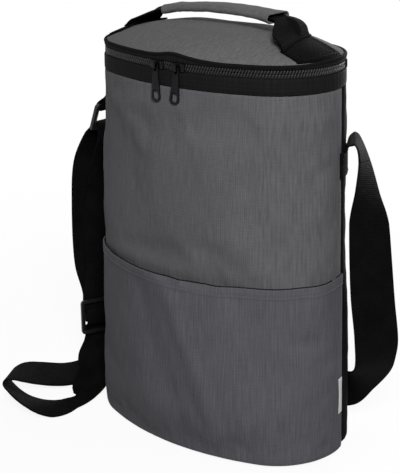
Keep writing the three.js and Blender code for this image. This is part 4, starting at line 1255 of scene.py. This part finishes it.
# stations of the strap from end to end: middle, direction across and, where the twisted webbing
# shows narrower, its share of the full width
strapParts = dict(
    anchor=[
        (cornerAt(anchorZ + 0.3, sewnLift), sewnAcross),
        (cornerAt(anchorZ + 3, sewnLift + 0.6), sewnAcross),
        (cornerAt(anchorZ + 6, sewnLift + 2.8), sewnAcross),
        (cornerAt(anchorZ + 7, sewnLift + 6), sewnAcross),
        ((right - 0.5, 31.5, anchorZ + 5), (-0.48, 0.87, -0.05))],
    rightFall=[
        ((right + 7, 28, anchorZ - 7), (-0.34, 0.92, -0.2)),
        ((right + 13, 24.5, anchorZ - 30), (-0.05, 0.96, -0.26)),
        ((right + 17.6, 21, anchorZ - 52), (0.33, 0.93, -0.17)),
        ((right + 20.9, 20, anchorZ - 82), (0.43, 0.89, -0.15)),
        ((right + 23.3, 21, anchorZ - 112), (0.49, 0.86, -0.13)),
        ((right + 25.3, 25, anchorZ - 145), (0.5, 0.86, -0.11)),
        ((right + 21, 32, 81), (0.4, 0.92, -0.07)),
        ((right + 13.4, 40, 66.6), (0.36, 0.92, -0.18)),
        ((right - 3.5, 49.5, 49.5), (0.21, 0.76, -0.61)),
        ((right - 24, back, 33), (0.2, 0.3, -0.93))],
    backRun=[
        ((right - 46, back + 7, 25), (0.03, 0.1, -0.99)),
        ((right - 80, back + 11, onEdge + 0.5), (0, 0, -1)),
        ((0, back + 12, onEdge), (0, 0, -1)),
        ((left + 72, back + 11, onEdge), (0, 0, -1)),
        ((left + 34, back + 6, onEdge), (0, 0, -1)),
        ((left + 4, back - 8, onEdge), (0, 0, -1)),
        ((left - 14, 35, onEdge), (0.15, 0, -0.98))],
    floorLoop=[
        ((left - 24, 13, 17), (0.4, -0.3, -0.8)),
        ((left - 30, -7, 12), (0.55, -0.65, -0.45)),
        ((left - 35, -26, 9), (0.52, -0.83, -0.2)),
        ((left - 43, -38, 9), (0.52, -0.84, -0.13)),
        ((left - 54.5, -52, 12), (0.55, -0.82, -0.1)),
        ((left - 58.5, -63, 16), (0.58, -0.8, -0.05)),
        ((left - 60.5, -72, 18.5), (0.6, -0.78, 0.05)),
        ((left - 61.5, -81, 18), (0.6, -0.76, 0.2)),
        ((left - 60, -85, 14), (0.6, -0.74, 0.3)),
        ((left - 50.5, -87.5, 10.5), (0.58, -0.75, 0.32)),
        ((left - 35, -89.5, 7.6), (0.5, -0.8, 0.33)),
        ((left - 20, -89, 6.4), (0.4, -0.87, 0.27))],
    leftRise=[
        ((left - 11, -84.5, 4.5), (0.35, -0.92, 0.16)),
        ((left - 4.5, -76.5, 2.2), (0.5, -0.86, 0.05)),
        ((left - 2, -66.5, floorZ + 0.1), (0.7, -0.7, 0), 0.75),
        ((left - 2, -57, floorZ + 0.1), (0.75, -0.66, 0), 0.6),
        ((left - 4, -44, 4), (0.95, 0.2, 0.1), 0.65),
        ((left - 7.5, -33, 10), (0.6, 0.8, 0), 0.85),
        ((left - 9, -23.5, 20), (0.36, 0.93, 0)),
        ((left - 11.5, -17, 35), (0.47, 0.88, 0)),
        (fromAdjuster(-endBarMiddle - 6, behindBar - 0.8), slideAcross)],
    weave=[
        (fromAdjuster(-endBarMiddle + 1.2, behindBar - 0.5), slideAcross),
        (fromAdjuster(-slotMiddle - 1.4, -1.4), slideAcross),
        (fromAdjuster(-slotMiddle + 1.4, 3), slideAcross),
        (fromAdjuster(-2.5, overLoop), slideAcross),
        (fromAdjuster(2.5, overLoop), slideAcross),
        (fromAdjuster(slotMiddle - 1.4, 3), slideAcross),
        (fromAdjuster(slotMiddle + 1.4, -1.4), slideAcross),
        (fromAdjuster(endBarMiddle - 1.2, behindBar - 0.5), slideAcross)],
    frontLayer=[
        (fromAdjuster(endBarMiddle + 4, behindBar - 0.3), slideAcross),
        ((left - 13.5, -2, 112), (0.6, 0.8, 0)),
        ((left - 13.4, -0.6, 165), (0.66, 0.75, 0)),
        ((left - 9.5, 3.6, 205), (0.35, 0.94, 0)),
        ((ringBend - ringX + 0.3, ring["y"] - 0.3, ringZ - 9), (0.02, 1, 0))],
    ringBend=[
        (roundRing(degrees), (0, 1, 0)) for degrees in (0, 45, 90, 135, 180)],
    rearLayer=[
        ((-ringX - ringBend - 3.4, ring["y"] - 0.8, ringZ - 7), (0.2, 0.98, 0)),
        ((left - 23, -2, 207), (0.5, 0.86, 0)),
        ((left - 23, -6.2, 170), (0.66, 0.75, 0)),
        ((left - 21.6, -7, 112), (0.57, 0.82, 0)),
        (fromAdjuster(endBarMiddle + 9, rearLayer - 1.2), slideAcross)],
    tail=[
        (fromAdjuster(endBarMiddle - 1.5, rearLayer - 0.2), slideAcross),
        (fromAdjuster(hookHalf + 2.8, behindBar - 1), slideAcross),
        (fromAdjuster(hookHalf - 1.4, behindBar), slideAcross),
        (fromAdjuster(1.4 - hookHalf, behindBar), slideAcross),
        (fromAdjuster(-hookHalf - 0.4, 0), slideAcross),
        (fromAdjuster(1.4 - hookHalf, loopFront), slideAcross),
        (fromAdjuster(hookHalf - 1.2, loopFront), slideAcross)],
)
strapRoute, partStart = [], {}
for partName, stations in strapParts.items():
    partStart[partName] = len(strapRoute)
    for station in stations:
        share = station[2] if len(station) > 2 else 1
        strapRoute.append((station[0], station[1], share * strap["width"]))
partStart["end"] = len(strapRoute) - 1


def strapPiece(name, first, following, steps, nodesReplaced):
    # one piece of the strap, from the start of one part to the start of another
    piece = ribbon(name, strapRoute, partStart[first], partStart[following], steps, 8,
                   strap["thickness"])
    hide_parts(*nodesReplaced)
    return piece


anchor = strapPiece("strap_anchor_webbing", "anchor", "rightFall", 40, ["strap_anchor"])
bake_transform(anchor)
longRun = strapPiece("strap_long_run_webbing", "rightFall", "leftRise", 420,
                     ["strap_right_fall", "strap_back_run", "strap_floor_loop"])
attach(longRun, "strap")
rise = strapPiece("strap_left_rise_webbing", "leftRise", "weave", 120, ["strap_left_rise"])
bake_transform(rise)
weave = strapPiece("strap_weave_webbing", "weave", "frontLayer", 60, ["strap_weave"])
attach(weave, "adjuster")
upper = strapPiece("strap_upper_webbing", "frontLayer", "tail", 200,
                   ["strap_front_layer", "strap_ring_bend", "strap_rear_layer"])
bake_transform(upper)
tail = strapPiece("strap_tail_webbing", "tail", "end", 50, ["strap_tail"])
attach(tail, "adjuster")

strapRing = roundedCopy("strap_ring_moulded", "strap_ring", 1.1, 3, blackAcetal)
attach(strapRing, "ring")
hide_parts("strap_ring")
slideBuckle = roundedCopy("strap_adjuster_moulded", "strap_adjuster", 0.7, 3, blackAcetal)
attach(slideBuckle, "adjuster")
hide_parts("strap_adjuster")

# ring tab: webbing doubled round the ring's upper bar, sewn into the seam under the edge band
tab = dict(top=291.8, eye=3.6, thickness=1.3)


def tabStation(x, z):
    return (x, ring["y"], z), (0, 1, 0), strap["width"]


def tabSide(z, out):
    # a point beside the body's left side
    return tabStation(-outlinePoint(placeAtY(ring["y"]), z)[0] - 0.3 - out, z)


def roundEye(degrees):
    # and one of the webbing's eye round the ring's upper bar
    a = math.radians(degrees)
    x, z = ring["top"]
    return tabStation(-x - tab["eye"] * math.cos(a), z + tab["eye"] * math.sin(a))


tabStations = [tabSide(tab["top"], 0.8), tabSide(272, 0.8)]
tabStations += [roundEye(degrees) for degrees in (150, 190, 240, 290, 340, 380, 425)]
tabStations += [tabSide(268, 2.5), tabSide(tab["top"], 2.2)]
ringTab = ribbon("ring_tab_webbing", tabStations, 0, len(tabStations) - 1, 70, 8,
                 tab["thickness"])
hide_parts("ring_tab")
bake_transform(ringTab)

# sewn patch at the strap's other end, with a box of stitches
patch = dict(top=247.0, length=20.0, proud=1.75, thickness=1.45, stitchMargin=0.1)
patchSewing = dict(length=2.2, pitch=2.9, thread=0.4)
anchorPlace = placeAtY(rimOutline.cornerY + rimOutline.corner / 2)
patchHalf = placeStep(strap["width"] / 2)


def patchShape(u, v):
    place = anchorPlace + (2 * u - 1) * patchHalf
    z = patch["top"] - patch["length"] * (1 - v)
    return outlinePoint(place, z, -patch["proud"]), ((u - 0.5) * strap["width"], z)


strapPatch = sheetPiece("strap_patch_webbing", 24, 12, patchShape, patch["thickness"],
                        blackWebbing, inside=centre, rim=0.4)
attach(strapPatch, "bag_body")
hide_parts("strap_patch")


def boxStitch(shape, margin):
    # four stitch lines over a sheet, along its edges
    near, far = margin, 1 - margin
    corners = [(near, near), (far, near), (far, far), (near, far), (near, near)]
    lines = []
    for (u0, v0), (u1, v1) in zip(corners, corners[1:]):
        line = []
        for i in range(25):
            u, v = u0 + (u1 - u0) * i / 24, v0 + (v1 - v0) * i / 24
            here = shape(u, v)[0]
            du, dv = shape(u + 0.01, v)[0] - here, shape(u, v + 0.01)[0] - here
            out = du.cross(dv).normalized()
            if out.dot(here - Vector((0, 0, here.z - 30))) < 0:
                out = -out
            line.append((here, out))
        lines.append(line)
    return lines


patchStitch = stitches("strap_patch_stitches", boxStitch(patchShape, patch["stitchMargin"]),
                       patchSewing, blackThread)
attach(patchStitch, "bag_body")
print("strap made")


# Handle

handle = dict(
    y=4, width=50, length=104, shift=3, height=347.4, lean=0.9, droop=3.5, gripWidth=24,
    gripThickness=5.4, gripCloth=1.0, flareWidth=28, flareThickness=7.6, flareLength=14,
    crown=0.8, pucker=0.5, puckerSoft=0.35, coreWidth=19, coreThickness=1.6,
)
# the sewn feet: their inner edge is slanted, and they end just short of the rim
footLook = dict(width=46, shift=-6.0, x=74, slant=9, end=0.985, thickness=1.35, above=1.75,
                endDrop=1.1, stitchMargin=0.08)
footSewing = dict(length=2.3, pitch=3.0, thread=0.4)
# the risers bulge and pleat, and fold to a share of the full width where they land
riserLook = dict(bulge=2.2, pleat=1.3, pleatAt=0.3, thickness=1.35, landing=4.0, forward=6.0,
                 foldLeft=0.6, foldRight=0.93)


def lidHeight(x, y):
    # the dome's height: halving finds the share of the rim's outline that passes here
    d = rimOutline
    low, high = 0.0, 1.2
    for _ in range(40):
        share = (low + high) / 2
        px, py = abs(x / share), y / share
        if math.atan2(px, d.frontY - py) < d.half:
            within = math.hypot(px, py - d.frontY) < d.front
        elif py > d.cornerY and px < d.cornerX:
            within = py < d.halfDepth
        else:
            within = math.hypot(px - d.cornerX, py - d.cornerY) < d.corner
        if within:
            high = share
        else:
            low = share
    return body["rimHeight"] + lid["rise"] * max(0, 1 - high ** 3)


def rimReach(y):
    d = rimOutline
    return d.cornerX + math.sqrt(d.corner ** 2 - (y - d.cornerY) ** 2)


def footShape(side):
    def shape(u, v):
        y = handle["y"] + footLook["shift"] + (u - 0.5) * footLook["width"]
        inner = footLook["x"] + footLook["slant"] * (0.5 - u)
        x = inner + v * (rimReach(y) * footLook["end"] - inner)
        z = lidHeight(x, y) + footLook["above"] - footLook["endDrop"] * smooth(0.9, 1.0, v)
        return Vector((side * x, y, z)), ((u - 0.5) * 50, v * 34)
    return shape


def gripMiddle(x):
    share = 2 * (x - handle["shift"]) / handle["length"]
    return handle["height"] + handle["lean"] * share - handle["droop"] * share ** 2


def gripOutline(straight, r, u):
    # a point at u round the pad's section, and the way round it: flat sides, round edges
    half = straight / 2
    around = 2 * straight + 2 * math.pi * r
    s = (u * around + straight / 2) % around
    if s < straight:
        return -half + s, r, around
    if s < straight + math.pi * r:
        a = math.pi / 2 - (s - straight) / r
        return half + r * math.cos(a), r * math.sin(a), around
    if s < 2 * straight + math.pi * r:
        return half - (s - straight - math.pi * r), -r, around
    a = -math.pi / 2 - (s - 2 * straight - math.pi * r) / r
    return -half + r * math.cos(a), r * math.sin(a), around


def gripShape(u, v):
    # a wrapped pad, wider and open at its ends, puckered along the seam
    x = handle["shift"] + handle["length"] * (v - 0.5)
    fromEnd = handle["length"] / 2 - abs(x - handle["shift"])
    flare = max(0, 1 - fromEnd / handle["flareLength"]) ** 2
    thickness = handle["gripThickness"]
    thickness += flare * (handle["flareThickness"] - thickness)
    straight = handle["gripWidth"] - handle["gripThickness"]
    straight += flare * (handle["flareWidth"] - handle["flareThickness"] - straight)
    y, z, around = gripOutline(straight, thickness / 2, u)
    outwards = abs(y) / (straight / 2 + thickness / 2)
    above = z > 0
    crown = handle["crown"] * math.cos(math.pi / 2 * min(1, outwards)) * (1 if above else -0.3)
    seamSide = Vector((x / 5.5, y / 9, 2.4 + (3 if above else 0)))
    pucker = handle["pucker"] * noise.noise(seamSide) * smooth(0.2, 1.0, outwards)
    pucker += handle["puckerSoft"] * noise.noise(Vector((x / 11, y / 12, 8.0)))
    lift = crown * (1 - flare) + pucker * (0.8 if z < 0 else 0.45)
    point = Vector((x, handle["y"] + y * (1 + 0.01 * pucker), gripMiddle(x) + z + lift))
    return point, (u * around, x)


grip = sheetPiece("handle_grip_cloth", 64, 96, gripShape, handle["gripCloth"], lidPolyester,
                  inside=(3, 4, 347), closed=True, rim=0.3)
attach(grip, "handle")
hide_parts("handle_grip")

coreEnds = (handle["shift"] - handle["length"] / 2 - 1, handle["shift"] + handle["length"] / 2 + 1)
coreStations = []
for i in range(13):
    x = coreEnds[0] + (coreEnds[1] - coreEnds[0]) * i / 12
    coreStations.append(((x, handle["y"], gripMiddle(x)), (0, 1, 0), handle["coreWidth"]))
core = ribbon("handle_core_webbing", coreStations, 0, 12, 48, 6, handle["coreThickness"])
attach(core, "handle")
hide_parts("handle_core")


def bezier(p0, p1, p2, p3, t):
    return p0 * (1 - t) ** 3 + p1 * 3 * t * (1 - t) ** 2 + p2 * 3 * t * t * (1 - t) + p3 * t ** 3


def riserShape(side, fold):
    # webbing that leaves the sleeve, arches down with a pleat and lands flat on its foot
    y = handle["y"]
    startX = coreEnds[0] - 0.2 if side < 0 else coreEnds[1] + 0.2
    start = Vector((startX, y, gripMiddle(startX)))
    landX = footLook["x"] + riserLook["landing"]
    overFoot = footLook["above"] + riserLook["thickness"] / 2
    end = Vector((side * landX, y, lidHeight(landX, y) + overFoot))
    slope = (lidHeight(landX + 2, y) - lidHeight(landX, y)) / 2
    away = Vector((side, 0, slope)).normalized()
    reach = abs(end.x - start.x)
    knots = (start, start + Vector((side * reach * 0.5, 0, -0.6)), end - away * reach * 0.3, end)

    def shape(u, v):
        middle = bezier(*knots, v)
        ahead = bezier(*knots, min(1, v + 0.01)) - bezier(*knots, max(0, v - 0.01))
        ahead.normalize()
        out = Vector((ahead.z * side, 0, -ahead.x * side))
        out = -out if out.z < 0 else out
        widening = smooth(0, 0.65, v)
        width = handle["coreWidth"] + widening * (fold * handle["width"] - handle["coreWidth"])
        across = 2 * u - 1
        loose = math.sin(math.pi * min(1, v * 1.05)) ** 1.5
        lift = riserLook["bulge"] * loose * math.cos(math.pi / 2 * across)
        lift += riserLook["pleat"] * loose * math.tanh((across - riserLook["pleatAt"]) / 0.07)
        slant = -side * footLook["slant"] / 2 * across * smooth(0.2, 0.9, v)
        shift = across * width / 2 - riserLook["forward"] * widening
        point = middle + out * lift + Vector((slant, shift, 0))
        landed = lidHeight(abs(point.x), point.y) + overFoot
        point.z += (landed - point.z) * smooth(0.7, 1.0, v)
        return point, (u * strap["width"], v * reach * 1.3)
    return shape


for side, word, fold, xNear, xFar in ((-1, "left", riserLook["foldLeft"], -0.0715, -0.0505),
                                      (1, "right", riserLook["foldRight"], 0.0715, 0.0565)):
    foot = sheetPiece(f"handle_foot_{word}_webbing", 30, 24, footShape(side),
                      footLook["thickness"], blackWebbing, inside=(0, 0, 280),
                      rim=0.4)
    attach(foot, "lid")
    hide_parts(f"handle_foot_{word}")
    sewn = stitches(f"handle_foot_{word}_stitches",
                    boxStitch(footShape(side), footLook["stitchMargin"]), footSewing,
                    blackThread)
    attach(sewn, "lid")
    riser = sheetPiece(f"handle_riser_{word}_webbing", 30, 40, riserShape(side, fold),
                       riserLook["thickness"], blackWebbing, offset=0.0,
                       rim=0.4, angle=50)
    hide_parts(f"handle_riser_{word}")
    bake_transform(riser)
print("handle made")


# Floor, light and camera
# metres and watts here

studio = dict(floorSize=6.0, glowFrom=0.3, glowFull=0.8, floorGlow=0.9, floorGrey=0.24,
              floorWhite=0.98, ambient=0.1)
lights = {
    "key softbox": dict(place=(1.1, -1.16, 1.3), aim=(0, 0, 0.17), size=0.6, power=38.0),
    "top softbox": dict(place=(0.1, 0.4, 1.8), aim=(0, 0, 0.2), size=1.2, power=3.5),
    "back softbox": dict(place=(-0.3, 1.7, 0.45), aim=(0, 0, 0.15), size=1.0, power=24.0),
}
view = dict(place=(0.6124, -0.7469, 0.4875), heading=40.22, pitch=18.56, roll=-0.48, lens=112.97)


def grey(level):
    return level, level, level, 1


def seenDirectly(tree):
    # 1 for what the camera sees itself, in a gloss or through glass; 0 for what only gives light
    path = addNode(tree, "ShaderNodeLightPath").outputs
    seen = maths(tree, "MAXIMUM", path["Is Camera Ray"], path["Is Glossy Ray"])
    return maths(tree, "MAXIMUM", seen, path["Is Transmission Ray"])


bm = bmesh.new()
bmesh.ops.create_grid(bm, x_segments=1, y_segments=1, size=studio["floorSize"])
floor = objectFrom(bm, "floor")
# seamless white paper: the camera sees it near white, with the object's shadow kept, and away
# from the object it turns pure white
paper, tree = newMaterial("white background paper")
seen = seenDirectly(tree)
place = addNode(tree, "ShaderNodeTexCoord").outputs["Object"]
fromObject = addNode(tree, "ShaderNodeVectorMath", {0: place}, operation="LENGTH")
whiter = addNode(tree, "ShaderNodeMapRange", {
    "Value": fromObject.outputs["Value"], "From Min": studio["glowFrom"],
    "From Max": studio["glowFull"], "To Min": studio["floorGlow"], "To Max": 1.0})
share = maths(tree, "MULTIPLY", seen, whiter.outputs[0])
colour = addNode(tree, "ShaderNodeMix", {
    "Factor": seen, "A": grey(studio["floorGrey"]), "B": grey(studio["floorWhite"])},
    data_type="RGBA")
matt = addNode(tree, "ShaderNodeBsdfDiffuse", {"Color": colour.outputs[2]})
glow = addNode(tree, "ShaderNodeEmission", {"Color": grey(1), "Strength": 1.0})
mixed = addNode(tree, "ShaderNodeMixShader", {
    0: share, 1: matt.outputs[0], 2: glow.outputs[0]})
addNode(tree, "ShaderNodeOutputMaterial", {"Surface": mixed.outputs[0]})
floor.data.materials.append(paper)

world = bpy.data.worlds.new("studio")
bpy.context.scene.world = world
world.use_nodes = True
tree = world.node_tree
tree.nodes.clear()
ambient = addNode(tree, "ShaderNodeBackground", {
    "Color": grey(1), "Strength": studio["ambient"]})
white = addNode(tree, "ShaderNodeBackground", {"Color": grey(1), "Strength": 1.0})
mixed = addNode(tree, "ShaderNodeMixShader", {
    0: seenDirectly(tree), 1: ambient.outputs[0], 2: white.outputs[0]})
addNode(tree, "ShaderNodeOutputWorld", {"Surface": mixed.outputs[0]})

for name, light in lights.items():
    lamp = bpy.data.lights.new(name, "AREA")
    lamp.energy = light["power"]
    lamp.size = light["size"]
    softbox = newObject(name, lamp)
    softbox.location = light["place"]
    towards = Vector(light["aim"]) - Vector(light["place"])
    softbox.rotation_euler = towards.to_track_quat("-Z", "Y").to_euler()

camera = bpy.data.cameras.new("camera")
camera.sensor_fit = "HORIZONTAL"
camera.sensor_width = 36
camera.lens = view["lens"]
camera.clip_end = 20
heading, pitch, roll = (math.radians(view[k]) for k in ("heading", "pitch", "roll"))
forward = Vector((-math.sin(heading) * math.cos(pitch), math.cos(heading) * math.cos(pitch),
                  -math.sin(pitch)))
level = forward.cross(Vector((0, 0, 1))).normalized()
upright = level.cross(forward)
sideways = level * math.cos(roll) + upright * math.sin(roll)
upward = sideways.cross(forward)
turn = Matrix((sideways, upward, -forward)).transposed().to_4x4()
viewer = newObject("camera", camera)
viewer.matrix_world = Matrix.Translation(view["place"]) @ turn
bpy.context.scene.camera = viewer
bpy.context.scene.view_settings.view_transform = "Standard"
print("studio made")
